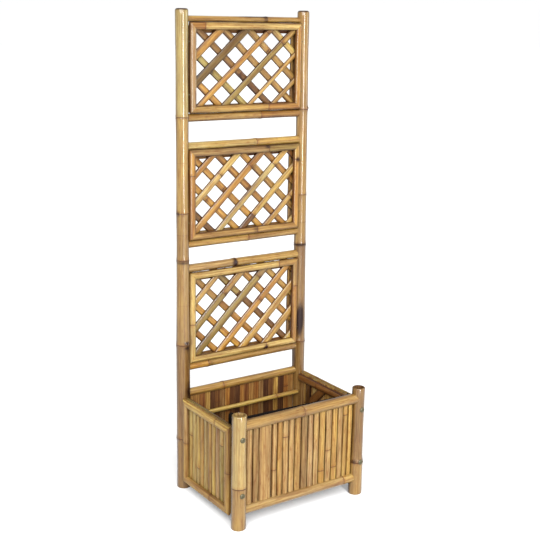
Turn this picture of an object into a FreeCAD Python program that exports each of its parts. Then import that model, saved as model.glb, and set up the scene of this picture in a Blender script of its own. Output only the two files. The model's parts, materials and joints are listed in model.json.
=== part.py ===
import FreeCAD, Part
import math
import os

import Sketcher
from FreeCAD import Placement, Rotation, Vector

# A free-standing bamboo planter: a slatted box on four cane posts, with a trellis of three
# lattice panels between the two tall back posts. Millimetres, +Z up, front towards -Y, origin
# on the floor at the middle of the four posts.

# ---------------------------------------------------------------- driving dimensions
DIMENSIONS = {
    # posts: radii above and at the foot, and the right back post's lean
    "post_span_x": 398, "post_span_y": 298, "trellis_height": 1350,
    "front_left_height": 324, "front_right_height": 323,
    "back_left_radius": 17.5, "back_left_foot": 19.7, "back_right_radius": 16.75,
    "back_right_foot": 19.3, "front_left_radius": 20, "front_left_foot": 20.4,
    "front_right_radius": 18.25, "front_right_foot": 19.8,
    "lean": 0.594, "lean_foot": 6, "lean_trim": 0.3,
    # how a cane is built
    "cane_wall": 4.5, "diaphragm": 3, "ridge_height": 1.1, "ridge_reach": 5, "ridge_half": 1.2,
    "end_softening": 1.2,
    # rails, heights of their middles and their radii
    "tenon_gap": 4,
    "trellis_rail_1": 1323.7, "trellis_rail_1_radius": 8,
    "trellis_rail_2": 1066, "trellis_rail_2_radius": 11,
    "trellis_rail_3": 990, "trellis_rail_3_radius": 10.9,
    "trellis_rail_4": 720.3, "trellis_rail_4_radius": 10.75,
    "trellis_rail_5": 651, "trellis_rail_5_radius": 12,
    "trellis_rail_6": 365, "trellis_rail_6_radius": 11.5,
    "box_back_rail": 286.5, "box_back_rail_radius": 11.5,
    "front_top_rail": 291.3, "front_top_rail_radius": 15.2,
    "bottom_rail": 50.5, "bottom_rail_radius": 13.2,
    # split canes: flat behind, crowned in front
    "frame_strip_width": 20, "frame_strip_thickness": 9.5, "frame_strip_edge": 4.5,
    "lattice_front_thickness": 7.5, "lattice_rear_thickness": 6.5, "lattice_strip_edge": 3.5,
    "lattice_pitch": 80, "lattice_blank": 560,
    # trellis panels, layer planes and outlines
    "panel_plane": 141, "panel_left_1": -182, "panel_left_2": -185, "panel_left_3": -185,
    "panel_right_1": 178.5, "panel_right_2": 180, "panel_right_3": 183.5,
    "panel_low_1": 1078, "panel_high_1": 1316, "panel_low_2": 731.5, "panel_high_2": 981,
    "panel_low_3": 377, "panel_high_3": 640.5,
    "lattice_inset": 7.5, "lattice_trim": 2,
    "back_frame_inset_left": 7, "back_frame_inset_right": 3, "back_frame_lift": 1,
    "back_frame_drop": 10,
    "lattice_angle_1": 41.5, "lattice_angle_2": 43.5, "lattice_angle_3": 44.1,
    # side panels
    "side_front": -119, "side_rear": 128.8, "side_low": 26, "side_high": 279.5, "right_lift": 6,
    "side_strip_width": 22, "side_outer_plane": 206, "side_slat_thickness": 8.5,
    "side_slat_inset": 3.5, "side_strip_thickness": 9.5, "side_inner_thickness": 9,
    "inner_drop_left": 1, "inner_drop_right": 7, "inner_stile_rear": 92, "inner_stile_front": -80,
    "brace_width": 28, "brace_thickness": 7, "brace_blank": 200, "brace_top_y": 16,
    "brace_overrun": 40,
    # wall slats
    "slat_thickness": 8, "slat_edge": 5, "slat_gap": 1.2, "groove_depth": 7, "groove_play": 0.5,
    "groove_end": 15, "groove_side_play": 0.4,
    # floor
    "bearer_radius": 8, "bearer_tenon": 8, "bearer_spacing": 120,
    "floor_slat_width": 20, "floor_slat_thickness": 6, "floor_slat_edge": 3,
    "floor_slat_pitch": 24.5, "floor_slat_length": 366, "floor_first": -131,
    # planting liner: its rim falls a little to the right, its flap stands at the left front corner
    "liner_half_width": 186, "liner_front": -132.5, "liner_back": 122, "liner_wall": 1.2,
    "liner_corner": 16, "liner_top": 308, "liner_low": 150, "liner_fall": 1.386,
    "liner_flap_end": -73, "liner_flap_corner": 20, "liner_right_end": -118,
    # inner rod
    "rod_radius": 6.75, "rod_y": 129.5, "rod_z": 221.8, "rod_half_length": 188, "rod_node": 108,
    # fasteners
    "screw_x": 200, "screw_high": 260, "screw_low": 101, "screw_head_radius": 7.5,
    "screw_head_height": 2.6, "screw_seat": 0.8, "screw_shank_radius": 2.2, "screw_point": 6,
    "screw_tip_y": 99,
    "pin_radius": 2, "pin_inset": 10, "nail_radius": 1.1, "nail_length": 32, "nail_inset": 50,
    "through_nail_length": 26, "through_nail_back": 7, "through_nail_rise": 8,
    "side_nail_length": 24, "side_nail_depth": 8, "rod_pin_inset": 3,
    # how far cutting tools reach past what they cut
    "spare": 10,
}

NODES_PER_POST = {
    "post_back_left": (153, 434, 678, 809, 1068),
    "post_back_right": (120, 379, 680, 829, 1076),
    "post_front_left": (119.5,),
    "post_front_right": (98,),
}
# heights between which a post thins from its foot's radius to the radius above
TAPERS = {
    "post_back_left": (445, 700), "post_back_right": (390, 900),
    "post_front_left": (130, 150), "post_front_right": (104, 114),
}
# depths of the diaphragm under the open tops of the short posts
TOP_DIAPHRAGMS = {"post_front_left": 6.5, "post_front_right": 9.5}
RAIL_NODE_X = {
    "trellis_rail_1": 64, "trellis_rail_2": 48, "trellis_rail_3": 34, "trellis_rail_4": 10,
    "trellis_rail_5": -33, "trellis_rail_6": -122, "box_back_rail": -70,
    "front_top_rail": 2, "front_bottom_rail": 148, "back_bottom_rail": -40,
}
# first strip of each lattice layer: x where it crosses the height given, the first and last count
LATTICE_FRONT = {1: (-58, 1247, -1, 4), 2: (-79, 910, -1, 5), 3: (-68, 565, -2, 5)}
LATTICE_REAR = {1: (-92, 1247, -3, 3), 2: (-113, 909, -2, 5), 3: (-104, 565, -2, 4)}
# the front strips differ in width, listed from the left; the rear ones are alike
FRONT_STRIP_WIDTHS = {
    1: (23, 23, 17, 19, 13, 14), 2: (18, 21, 22, 18.5, 19.5, 19, 17),
    3: (20, 19.5, 23.5, 24.5, 22, 24.5, 24, 22),
}
REAR_STRIP_WIDTH = 20
FRONT_SLAT_EDGES = (-177.5, -157, -137, -95, -78, -60, -40, -20.5, 1.5, 24, 43, 62.5, 85, 107, 127,
                    145, 163, 178.6)
BACK_SLAT_EDGES = (-178.5, -168, -148, -129, -112, -97, -78, -61, -45, -28, -10, 4, 20, 40, 56, 73,
                   91, 110, 126, 147, 164, 182)
SIDE_SLATS = 12
FLOOR_SLATS = 10
BEARERS = 3
# how far a cane's wall swells below, at and above a node, as shares of the ridge's height
SWELL_BELOW, SWELL_AT, SWELL_ABOVE = 1, 0.1, 0.8
# the dome of a screw's head: shares of its radius and of its height
SCREW_DOME = ((0.55, 1), (0.9, 0.6), (1, 0.25))
# where a pin starts behind a rail's middle and how long it is, as shares of the post's radius
PIN_START, PIN_LENGTH = 0.78, 1.3
# where along a side panel its nails sit, as shares of its depth
SIDE_NAIL_SHARES = (0.2, 0.8)

document = FreeCAD.newDocument("planter")
sheet = document.addObject("Spreadsheet::Sheet", "Sizes")
for row, (alias, number) in enumerate(DIMENSIONS.items(), start=1):
    sheet.set("A%d" % row, alias.replace("_", " "))
    sheet.set("B%d" % row, str(number))
    sheet.setAlias("B%d" % row, alias)
document.recompute()


# ---------------------------------------------------------------- sizes that stay formulas
class Size:
    """A length or angle that knows its number and the sheet formula behind it."""

    def __init__(self, value, formula=None):
        self.value = float(value)
        self.formula = formula if formula is not None else "(%.6f)" % self.value

    def join(self, other, sign, value):
        return Size(value, "(%s %s %s)" % (self.formula, sign, other.formula))

    def __add__(self, other):
        other = as_size(other)
        return self.join(other, "+", self.value + other.value)

    def __radd__(self, other):
        return as_size(other) + self

    def __sub__(self, other):
        other = as_size(other)
        return self.join(other, "-", self.value - other.value)

    def __rsub__(self, other):
        return as_size(other) - self

    def __mul__(self, other):
        other = as_size(other)
        return self.join(other, "*", self.value * other.value)

    def __rmul__(self, other):
        return as_size(other) * self

    def __truediv__(self, other):
        other = as_size(other)
        return self.join(other, "/", self.value / other.value)

    def __neg__(self):
        return Size(-self.value, "(-1 * %s)" % self.formula)


def as_size(number):
    return number if isinstance(number, Size) else Size(number)


def cell(alias):
    return Size(sheet.get(alias), "Sizes." + alias)


def cosine(angle):
    return Size(math.cos(math.radians(angle.value)), "cos(%s)" % angle.formula)


def sine(angle):
    return Size(math.sin(math.radians(angle.value)), "sin(%s)" % angle.formula)


def bind(thing, **sizes):
    """Set properties from sizes, each tied to the sheet."""
    for name, size in sizes.items():
        size = as_size(size)
        setattr(thing, name, size.value)
        if "Sizes." in size.formula:
            thing.setExpression(name, size.formula)


def place(thing, position, rotation=None):
    """Place a thing; each coordinate stays tied to the sheet."""
    sizes = [as_size(coordinate) for coordinate in position]
    base = Vector(*[size.value for size in sizes])
    thing.Placement = Placement(base, rotation if rotation is not None else Rotation())
    for axis, size in zip("xyz", sizes):
        if "Sizes." in size.formula:
            thing.setExpression(".Placement.Base." + axis, size.formula)
    return thing


def add(kind, name):
    return document.addObject(kind, name)


sub_parts = []


def sub_part(thing, label):
    """Register a finished piece: its label names its file."""
    thing.Label = label
    sub_parts.append(thing)
    return thing


# ---------------------------------------------------------------- shared shapes
def box(name, size, position, rotation=None):
    thing = add("Part::Box", name)
    bind(thing, Length=size[0], Width=size[1], Height=size[2])
    return place(thing, position, rotation)


def cylinder(name, radius, length, position, direction):
    thing = add("Part::Cylinder", name)
    bind(thing, Radius=radius, Height=length)
    return place(thing, position, Rotation(Vector(0, 0, 1), Vector(*direction)))


def common(name, base, tool):
    thing = add("Part::Common", name)
    thing.Base = base
    thing.Tool = tool
    return thing


def cut(name, base, tools):
    """The base less one tool, or less several as one group."""
    thing = add("Part::Cut", name)
    thing.Base = base
    thing.Tool = tools[0] if len(tools) == 1 else group(name + "_tools", tools)
    return thing


def group(name, things):
    """Several separate solids that make one node."""
    thing = add("Part::Compound", name)
    thing.Links = things
    return thing


def turned(name, outline):
    """A body turned about +Z from a closed outline of (radius, height) corners."""
    body = add("PartDesign::Body", name + "_body")
    sketch = body.newObject("Sketcher::SketchObject", name + "_outline")
    planes = {feature.Role: feature for feature in body.Origin.OriginFeatures}
    sketch.AttachmentSupport = [(planes["XZ_Plane"], "")]
    sketch.MapMode = "FlatFace"
    corners = [(as_size(radius), as_size(height)) for radius, height in outline]
    points = [Vector(radius.value, height.value, 0) for radius, height in corners]
    for start, end in zip(points, points[1:] + points[:1]):
        sketch.addGeometry(Part.LineSegment(start, end), False)
    count = len(corners)
    for index, (radius, height) in enumerate(corners):
        sketch.addConstraint(Sketcher.Constraint("Coincident", index, 2, (index + 1) % count, 1))
        for axis, zero_line, size in (("DistanceX", -2, radius), ("DistanceY", -1, height)):
            if abs(size.value) < 1e-9:
                sketch.addConstraint(Sketcher.Constraint("PointOnObject", index, 1, zero_line))
                continue
            number = sketch.addConstraint(Sketcher.Constraint(axis, -1, 1, index, 1, size.value))
            if "Sizes." in size.formula:
                sketch.setExpression("Constraints[%d]" % number, size.formula)
    revolution = body.newObject("PartDesign::Revolution", name + "_turn")
    revolution.Profile = sketch
    revolution.ReferenceAxis = (sketch, ["V_Axis"])
    revolution.Angle = 360
    body.Tip = revolution
    return body


def radius_at(height, radius, foot, taper):
    """A cane's radius at a height: the foot's up to the taper, then evenly down to the upper one."""
    low, high = taper
    share = min(max((high - height.value) / (high - low), 0), 1)
    return radius + (foot - radius) * share


def cane(name, length, radius, nodes, foot=None, taper=(), capped=False, top_diaphragm=None):
    """A hollow cane: its wall swells at each node and a diaphragm closes it there.

    nodes are heights along the cane. A foot is the thicker radius below the taper's two heights.
    A capped cane is cut just above a node, so its top is shut; top_diaphragm is the height of one
    more diaphragm close under an open top.
    """
    inner = radius - cell("cane_wall")
    soft = cell("end_softening")
    reach, crest, half = cell("ridge_reach"), cell("ridge_half"), cell("diaphragm") / 2
    swell = cell("ridge_height")

    def skin(height):
        return radius_at(height, radius, foot, taper) if foot else radius

    rows = [(as_size(height), 0) for height in taper]
    for node in nodes:
        rows += [(node - reach, 0), (node - crest, SWELL_BELOW), (node, SWELL_AT),
                 (node + crest, SWELL_ABOVE), (node + reach, 0)]
    rows.sort(key=lambda row: row[0].value)
    bottom = skin(as_size(0))
    outline = [(inner, 0), (bottom - soft, 0), (bottom, soft)]
    outline += [(skin(height) + swell * share, height) for height, share in rows]
    outline += [(radius, length - soft), (radius - soft, length)]
    if capped:
        outline += [(0, length), (0, length - half * 2), (inner, length - half * 2)]
    else:
        outline += [(inner, length)]
    closed = list(nodes) + ([top_diaphragm] if top_diaphragm is not None else [])
    for height in reversed(closed):
        outline += [(inner, height + half), (0, height + half), (0, height - half),
                    (inner, height - half)]
    return turned(name, outline)


def split_cane(name, length, width, thickness, edge):
    """A split cane lying along +X: flat on z = 0, crowned up to its thickness, sides edge high."""
    rise = thickness - edge
    crown = (width * width / 4 + rise * rise) / (rise * 2)
    blank = box(name + "_blank", (length, width, thickness), (0, 0, 0))
    skin = cylinder(name + "_skin", crown, length, (0, width / 2, thickness - crown), (1, 0, 0))
    return common(name, blank, skin)


def turn_from(along, across):
    """The rotation that takes local X to along and local Y to across."""
    along, across = Vector(*along), Vector(*across)
    return Rotation(along, across, along.cross(across), "ZXY")


def mitred_frame(name, origin, along, width, height, section):
    """Four split canes with mitred ends round an outline, crowned on the side along x +Z.

    origin is the outline's lower corner, along the direction of its lower edge. Returned in the
    order bottom, far side, top, near side.
    """
    strip_width, thickness, edge = section
    up = (0, 0, 1)
    back = tuple(-number for number in along)
    down = (0, 0, -1)
    far = [origin[axis] + width * along[axis] for axis in range(3)]
    corners = [origin, far, [far[0], far[1], far[2] + height],
               [origin[0], origin[1], origin[2] + height]]
    directions = [(along, up), (up, back), (back, down), (down, along)]
    lengths = [width, height, width, height]
    strips = []
    for index in range(4):
        part = "%s_%d" % (name, index)
        bar = split_cane(part + "_bar", lengths[index], strip_width, thickness, edge)
        mitre = add("Part::Wedge", part + "_mitre")
        bind(mitre, Xmin=0, Ymin=0, Zmin=0, Z2min=0, X2min=strip_width, Xmax=lengths[index],
             X2max=lengths[index] - strip_width, Ymax=strip_width, Zmax=thickness, Z2max=thickness)
        strip = common(part, bar, mitre)
        strips.append(place(strip, corners[index], turn_from(*directions[index])))
    return strips


# ---------------------------------------------------------------- places that pieces share
spare = cell("spare")
half_x = cell("post_span_x") / 2
half_y = cell("post_span_y") / 2
posts = {
    "post_back_left": (-half_x, half_y),
    "post_back_right": (half_x + cell("lean_foot"), half_y),
    "post_front_left": (-half_x, -half_y),
    "post_front_right": (half_x, -half_y),
}
leaning_post = "post_back_right"
lean_slope = sine(cell("lean")) / cosine(cell("lean"))


def post_x(post, height):
    """Where a post's axis stands at a height: one post leans inwards as it goes up."""
    return posts[post][0] - height * lean_slope if post == leaning_post else posts[post][0]


def post_radii(post):
    """A post's radius above its taper and at its foot."""
    return cell(post[5:] + "_radius"), cell(post[5:] + "_foot")


def post_radius(post, height):
    return radius_at(height, *post_radii(post), TAPERS[post])


def rail_size(rail, suffix=""):
    """A rail's height, or its radius; the two bottom rails share theirs."""
    return cell(("bottom_rail" if "bottom" in rail else rail) + suffix)


# each rail: y, z and radius, and where its ends stop inside its two posts
rails = {}
for rail in RAIL_NODE_X:
    row = "front" if rail.startswith("front") else "back"
    rail_y = -half_y if row == "front" else half_y
    rail_z = rail_size(rail)
    left_end = post_x("post_%s_left" % row, rail_z) + cell("tenon_gap")
    right_end = post_x("post_%s_right" % row, rail_z) - cell("tenon_gap")
    rails[rail] = (row, rail_y, rail_z, rail_size(rail, "_radius"), left_end, right_end)
panels = {number: [cell("panel_%s_%d" % (edge, number)) for edge in ("left", "right", "low", "high")]
          for number in (1, 2, 3)}
frame_plane = cell("panel_plane")
rear_layer_plane = frame_plane + cell("lattice_front_thickness")
back_frame_plane = rear_layer_plane + cell("lattice_rear_thickness")
lifts = {"left": as_size(0), "right": cell("right_lift")}

# ---------------------------------------------------------------- fasteners
# The pins are bamboo dowels: each goes through a post's wall and the end of a rail inside it.
pins = []
for rail, (row, rail_y, rail_z, rail_radius, left_end, right_end) in rails.items():
    outward = 1 if row == "back" else -1
    for side, hand in ((-1, "left"), (1, "right")):
        post = "post_%s_%s" % (row, hand)
        wall_radius = post_radii(post)[0]
        pin_place = (post_x(post, rail_z) - cell("pin_inset") * side,
                     rail_y + wall_radius * outward * PIN_START, rail_z)
        pins.append(cylinder("%s_pin_%s" % (rail, hand), cell("pin_radius"),
                             wall_radius * PIN_LENGTH, pin_place, (0, -outward, 0)))
for side, hand in ((-1, "left"), (1, "right")):
    pin_x = (cell("rod_half_length") - cell("rod_pin_inset")) * side
    pins.append(cylinder("rod_pin_" + hand, cell("nail_radius"), cell("through_nail_length"),
                         (pin_x, cell("rod_y") - cell("rod_radius"), cell("rod_z")), (0, 1, 0)))
rail_pins = sub_part(group("rail_pins", pins), "rail_pins")

# The screws hold the side panels between the posts, from the front and from behind.
screws = []
for post, (foot_x, post_y) in posts.items():
    inward = -1 if "back" in post else 1
    for level in ("screw_high", "screw_low"):
        seat = post_y - post_radius(post, cell(level)) * inward
        tip = (seat * -inward) - cell("screw_tip_y")
        head, shank, dome = (cell("screw_head_radius"), cell("screw_shank_radius"),
                             cell("screw_head_height"))
        outline = [(0, -dome)] + [(head * across, -dome * up) for across, up in SCREW_DOME]
        outline += [(head, cell("screw_seat")), (shank, cell("screw_seat")),
                    (shank, tip - cell("screw_point")), (0, tip)]
        screw = turned("%s_%s" % (post, level), outline)
        screw_x = cell("screw_x") * (1 if "right" in post else -1)
        place(screw, (screw_x, seat, cell(level)),
              Rotation(Vector(0, 0, 1), Vector(0, inward, 0)))
        screws.append(screw)
screws_node = sub_part(group("side_panel_screws", screws), "side_panel_screws")

# Thin nails hold the trellis panels to the posts and the layers of every panel to each other.
nails = []
nail_radius = cell("nail_radius")
nail_y = frame_plane - cell("frame_strip_edge")
for number, (left, right, low, high) in panels.items():
    strip = cell("frame_strip_width")
    for level, height in (("low", low + cell("nail_inset")), ("high", high - cell("nail_inset"))):
        name = "panel_%d_nail_%s" % (number, level)
        nails.append(cylinder(name + "_left", nail_radius, cell("nail_length"),
                              (left + strip, nail_y, height), (-1, 0, 0)))
        nails.append(cylinder(name + "_right", nail_radius, cell("nail_length"),
                              (right - strip, nail_y, height), (1, 0, 0)))
        for hand, stile_x in (("left", left + strip / 2), ("right", right - strip / 2)):
            nail_place = (stile_x, back_frame_plane + cell("through_nail_back"),
                          height + cell("through_nail_rise"))
            nails.append(cylinder("%s_through_%s" % (name, hand), nail_radius,
                                  cell("through_nail_length"), nail_place, (0, -1, 0)))
side_depth = cell("side_rear") - cell("side_front")
side_nail_x = cell("side_outer_plane") - cell("side_slat_thickness") - cell("side_nail_depth")
for side, hand in ((-1, "left"), (1, "right")):
    from_edge = cell("inner_drop_right") + cell("side_strip_width") / 2
    for share in SIDE_NAIL_SHARES:
        for height in (cell("side_low") + from_edge, cell("side_high") - from_edge):
            nail_place = (side_nail_x * side, cell("side_front") + side_depth * share,
                          height + lifts[hand])
            nails.append(cylinder("side_nail_%d" % len(nails), nail_radius,
                                  cell("side_nail_length"), nail_place, (side, 0, 0)))
panel_nails = sub_part(group("panel_nails", nails), "panel_nails")

# ---------------------------------------------------------------- posts
mortises = {post: [] for post in posts}
for rail, (row, rail_y, rail_z, rail_radius, left_end, right_end) in rails.items():
    mortise = cylinder(rail + "_mortise", rail_radius, right_end - left_end,
                       (left_end, rail_y, rail_z), (1, 0, 0))
    for hand in ("left", "right"):
        mortises["post_%s_%s" % (row, hand)].append(mortise)
ground = box("ground", (spare * 6, spare * 6, spare),
             (posts[leaning_post][0] - spare * 3, half_y - spare * 3, -spare))
culms = {}
for post, (foot_x, post_y) in posts.items():
    tall = "back" in post
    length = cell("trellis_height") if tall else cell(post[5:] + "_height")
    nodes = [as_size(height) for height in NODES_PER_POST[post]]
    top = None if tall else length - TOP_DIAPHRAGMS[post]
    radius, foot = post_radii(post)
    culm = cane(post, length, radius, nodes, foot, TAPERS[post], capped=tall, top_diaphragm=top)
    if post == leaning_post:
        # the leaning cane stands a little low and is sawn off level with the floor
        lean = Rotation(Vector(0, 1, 0), -cell("lean").value)
        place(culm, (foot_x, post_y, -cell("lean_trim")), lean)
        culm = cut(post + "_sawn", culm, [ground])
    else:
        place(culm, (foot_x, post_y, 0))
    culms[post] = culm
    sub_part(cut(post + "_cut", culm, mortises[post] + [rail_pins, screws_node, panel_nails]), post)
back_culms = [culms["post_back_left"], culms["post_back_right"]]

# ---------------------------------------------------------------- rails
bearer_reach = half_y - cell("bottom_rail_radius") + cell("bearer_tenon")
bearer_bores = [cylinder("bearer_bore_%d" % index, cell("bearer_radius"), bearer_reach * 2,
                         (cell("bearer_spacing") * (index - 1), -bearer_reach,
                          cell("bottom_rail")), (0, 1, 0)) for index in range(BEARERS)]


def slat_groove(rail, rail_y, edge_z, upward):
    """The groove along a rail that holds the ends of the wall's slats."""
    depth = cell("groove_depth")
    width = cell("slat_thickness") + cell("groove_side_play")
    margin = cell("ridge_height") * 2
    groove_half = half_x - cell("groove_end")
    bottom = edge_z - depth if upward else edge_z - margin
    return box(rail + "_groove", (groove_half * 2, width, depth + margin),
               (-groove_half, rail_y - width / 2, bottom))


for rail, (row, rail_y, rail_z, rail_radius, left_end, right_end) in rails.items():
    culm = cane(rail, right_end - left_end, rail_radius, [RAIL_NODE_X[rail] - left_end])
    place(culm, (left_end, rail_y, rail_z), Rotation(Vector(0, 1, 0), 90))
    tools = [rail_pins]
    if rail in ("front_top_rail", "box_back_rail"):
        tools.append(slat_groove(rail, rail_y, rail_z - rail_radius, upward=False))
    if "bottom" in rail:
        tools.append(slat_groove(rail, rail_y, rail_z + rail_radius, upward=True))
        tools += bearer_bores
    sub_part(cut(rail + "_cut", culm, tools), rail)

# ---------------------------------------------------------------- trellis panels
FRAME_PARTS = ("bottom", "right", "top", "left")
section = (cell("frame_strip_width"), cell("frame_strip_thickness"), cell("frame_strip_edge"))


def lattice_strip(name, centre, angle, crown_y, section, window):
    """One slanting split cane, crowned towards -Y, cut off at the panel's outline."""
    length = cell("lattice_blank")
    width, thickness = section
    bar = split_cane(name + "_bar", length, width, thickness, cell("lattice_strip_edge"))
    run, rise = cosine(angle), sine(angle)
    corner = (centre[0] - length / 2 * run + width / 2 * rise, crown_y,
              centre[1] - length / 2 * rise - width / 2 * run)
    slope = Rotation(Vector(0, -1, 0), angle.value)
    place(bar, corner, slope.multiply(turn_from((1, 0, 0), (0, 0, 1))))
    left, right, low, high = window
    clip = box(name + "_clip", (right - left, thickness, high - low),
               (left, crown_y - thickness, low))
    return common(name, bar, clip)


for number, (left, right, low, high) in panels.items():
    name = "panel_%d" % number
    outer = mitred_frame(name + "_frame", (left, frame_plane, low), (1, 0, 0), right - left,
                         high - low, section)
    for strip, part in zip(outer, FRAME_PARTS):
        sub_part(cut("%s_frame_%s_cut" % (name, part), strip, [panel_nails] + back_culms),
                 "%s_frame_%s" % (name, part))
    inset, trim = cell("lattice_inset"), cell("lattice_trim")
    window = (left + inset, right - inset, low + trim, high - trim)
    angle = cell("lattice_angle_%d" % number)
    for layer, table, plane, lean in (("front", LATTICE_FRONT, rear_layer_plane, 1),
                                      ("rear", LATTICE_REAR, back_frame_plane, -1)):
        start, height, first, last = table[number]
        thickness = cell("lattice_%s_thickness" % layer)
        strips = []
        for index, count in enumerate(range(first, last + 1)):
            width = FRONT_STRIP_WIDTHS[number][index] if layer == "front" else REAR_STRIP_WIDTH
            centre = (start + cell("lattice_pitch") * count, as_size(height))
            strips.append(lattice_strip("%s_%s_strip_%d" % (name, layer, index), centre,
                                        angle * lean, plane, (as_size(width), thickness), window))
        lattice = group("%s_lattice_%s_strips" % (name, layer), strips)
        sub_part(cut("%s_lattice_%s_cut" % (name, layer), lattice, [panel_nails]),
                 "%s_lattice_%s" % (name, layer))
    inner_left = left + cell("back_frame_inset_left")
    inner_right = right - cell("back_frame_inset_right")
    inner = mitred_frame(name + "_back", (inner_right, back_frame_plane,
                                          low + cell("back_frame_lift")), (-1, 0, 0),
                         inner_right - inner_left, high - low - cell("back_frame_drop"), section)
    sub_part(cut(name + "_back_cut", group(name + "_back_strips", inner), [panel_nails]),
             name + "_back_frame")

# ---------------------------------------------------------------- side panels
side_section = (cell("side_strip_width"), cell("side_strip_thickness"), cell("frame_strip_edge"))
inner_section = (cell("side_inner_thickness"), cell("frame_strip_edge"))
outer_plane = cell("side_outer_plane")
inner_plane = outer_plane - cell("side_slat_thickness")
strip = cell("side_strip_width")
for side, hand in ((-1, "left"), (1, "right")):
    low, high = cell("side_low") + lifts[hand], cell("side_high") + lifts[hand]
    name = "side_%s" % hand
    near = cell("side_front") if side > 0 else cell("side_rear")
    outer = mitred_frame(name + "_frame", (outer_plane * side, near, low), (0, side, 0),
                         side_depth, high - low, side_section)
    parts = ("bottom", "rear", "top", "front") if side > 0 else ("bottom", "front", "top", "rear")
    for bar, part in zip(outer, parts):
        sub_part(cut("%s_frame_%s_cut" % (name, part), bar, [panel_nails]),
                 "%s_frame_%s" % (name, part))
    pitch = side_depth / SIDE_SLATS
    gap, inset = cell("slat_gap"), cell("side_slat_inset")
    start = cell("side_front") if side < 0 else cell("side_rear")
    slats = []
    for count in range(SIDE_SLATS):
        slat = split_cane("%s_slat_%d" % (name, count), high - low - inset * 2, pitch - gap,
                          cell("side_slat_thickness"), cell("slat_edge"))
        place(slat, (inner_plane * side, start - (pitch * count + gap / 2) * side, low + inset),
              turn_from((0, 0, 1), (0, -side, 0)))
        slats.append(slat)
    sub_part(cut(name + "_slats_cut", group(name + "_slat_row", slats),
                 [panel_nails, screws_node]), name + "_slats")
    drop = cell("inner_drop_" + hand)
    stile_low, stile_high = low + drop + strip, high - drop - strip
    inner = []
    for part, part_low in (("top", stile_high), ("bottom", low + drop)):
        bar = split_cane("%s_inner_%s" % (name, part), side_depth, strip, *inner_section)
        inner.append(place(bar, (inner_plane * side, start, part_low),
                           turn_from((0, -side, 0), (0, 0, 1))))
    for part, rear_edge in (("rear", cell("inner_stile_rear")),
                            ("front", cell("inner_stile_front") + strip)):
        bar = split_cane("%s_inner_%s" % (name, part), stile_high - stile_low, strip,
                         *inner_section)
        near = rear_edge - strip if side > 0 else rear_edge
        inner.append(place(bar, (inner_plane * side, near, stile_low),
                           turn_from((0, 0, 1), (0, side, 0))))
    sub_part(cut(name + "_inner_cut", group(name + "_inner_strips", inner), [panel_nails]),
             name + "_inner_frame")
    # the brace slopes from the middle of the top strip down to the rear stile
    brace_width, overrun = cell("brace_width"), cell("brace_overrun")
    stile_edge = cell("inner_stile_rear") - strip
    bar = split_cane(name + "_brace_bar", cell("brace_blank"), brace_width, cell("brace_thickness"),
                     cell("lattice_strip_edge"))
    root_half = math.sqrt(0.5)
    along = (0, root_half, -root_half)
    across = (0, -root_half * side, -root_half * side)
    half_across = brace_width * (0.5 * root_half * side)
    place(bar, (inner_plane * side, cell("brace_top_y") - overrun + half_across,
                stile_high + overrun + half_across), turn_from(along, across))
    room_front = cell("brace_top_y") - overrun - spare * 4
    room = box(name + "_brace_room", (spare * 2, stile_edge - room_front, stile_high - stile_low),
               (inner_plane * side - spare, room_front, stile_low))
    sub_part(common(name + "_brace_cut", bar, room), name + "_brace")

# ---------------------------------------------------------------- front and back walls
def wall(name, edges, middle_y, outward, low, high):
    """Upright split canes side by side, their ends in the grooves of the rails."""
    thickness, gap = cell("slat_thickness"), cell("slat_gap")
    slats = []
    for count, (start, end) in enumerate(zip(edges, edges[1:])):
        slat = split_cane("%s_%d" % (name, count), high - low, end - start - gap, thickness,
                          cell("slat_edge"))
        near_edge = start + gap / 2 if outward > 0 else end - gap / 2
        place(slat, (near_edge, middle_y - thickness / 2 * outward, low),
              turn_from((0, 0, 1), (outward, 0, 0)))
        slats.append(slat)
    return sub_part(group(name + "_row", slats), name)


seat = cell("groove_depth") - cell("groove_play")
slat_low = cell("bottom_rail") + cell("bottom_rail_radius") - seat
wall("front_slats", FRONT_SLAT_EDGES, -half_y, -1, slat_low,
     cell("front_top_rail") - cell("front_top_rail_radius") + seat)
wall("back_slats", BACK_SLAT_EDGES, half_y, 1, slat_low,
     cell("box_back_rail") - cell("box_back_rail_radius") + seat)

# ---------------------------------------------------------------- floor
bearers = []
for index in range(BEARERS):
    culm = cane("bearer_%d" % index, bearer_reach * 2, cell("bearer_radius"), [])
    place(culm, (cell("bearer_spacing") * (index - 1), -bearer_reach, cell("bottom_rail")),
          Rotation(Vector(1, 0, 0), -90))
    bearers.append(culm)
sub_part(group("floor_bearers_row", bearers), "floor_bearers")
floor_z = cell("bottom_rail") + cell("bearer_radius")
boards = []
for count in range(FLOOR_SLATS):
    board = split_cane("floor_slat_%d" % count, cell("floor_slat_length"),
                       cell("floor_slat_width"), cell("floor_slat_thickness"),
                       cell("floor_slat_edge"))
    place(board, (cell("floor_slat_length") / -2,
                  cell("floor_first") + cell("floor_slat_pitch") * count, floor_z))
    boards.append(board)
sub_part(group("floor_slats_row", boards), "floor_slats")

# ---------------------------------------------------------------- planting liner
def rounded_box(name, half_width, front, back, low, high, corner):
    """A box with its upright edges rounded."""
    blank = box(name + "_blank", (half_width * 2, back - front, high - low),
                (-half_width, front, low))
    document.recompute()
    rounded = add("Part::Fillet", name)
    rounded.Base = blank
    upright = [index + 1 for index, edge in enumerate(blank.Shape.Edges)
               if abs(edge.tangentAt(edge.FirstParameter).z) > 0.99]
    rounded.Edges = [(index, corner.value, corner.value) for index in upright]
    return rounded


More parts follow.
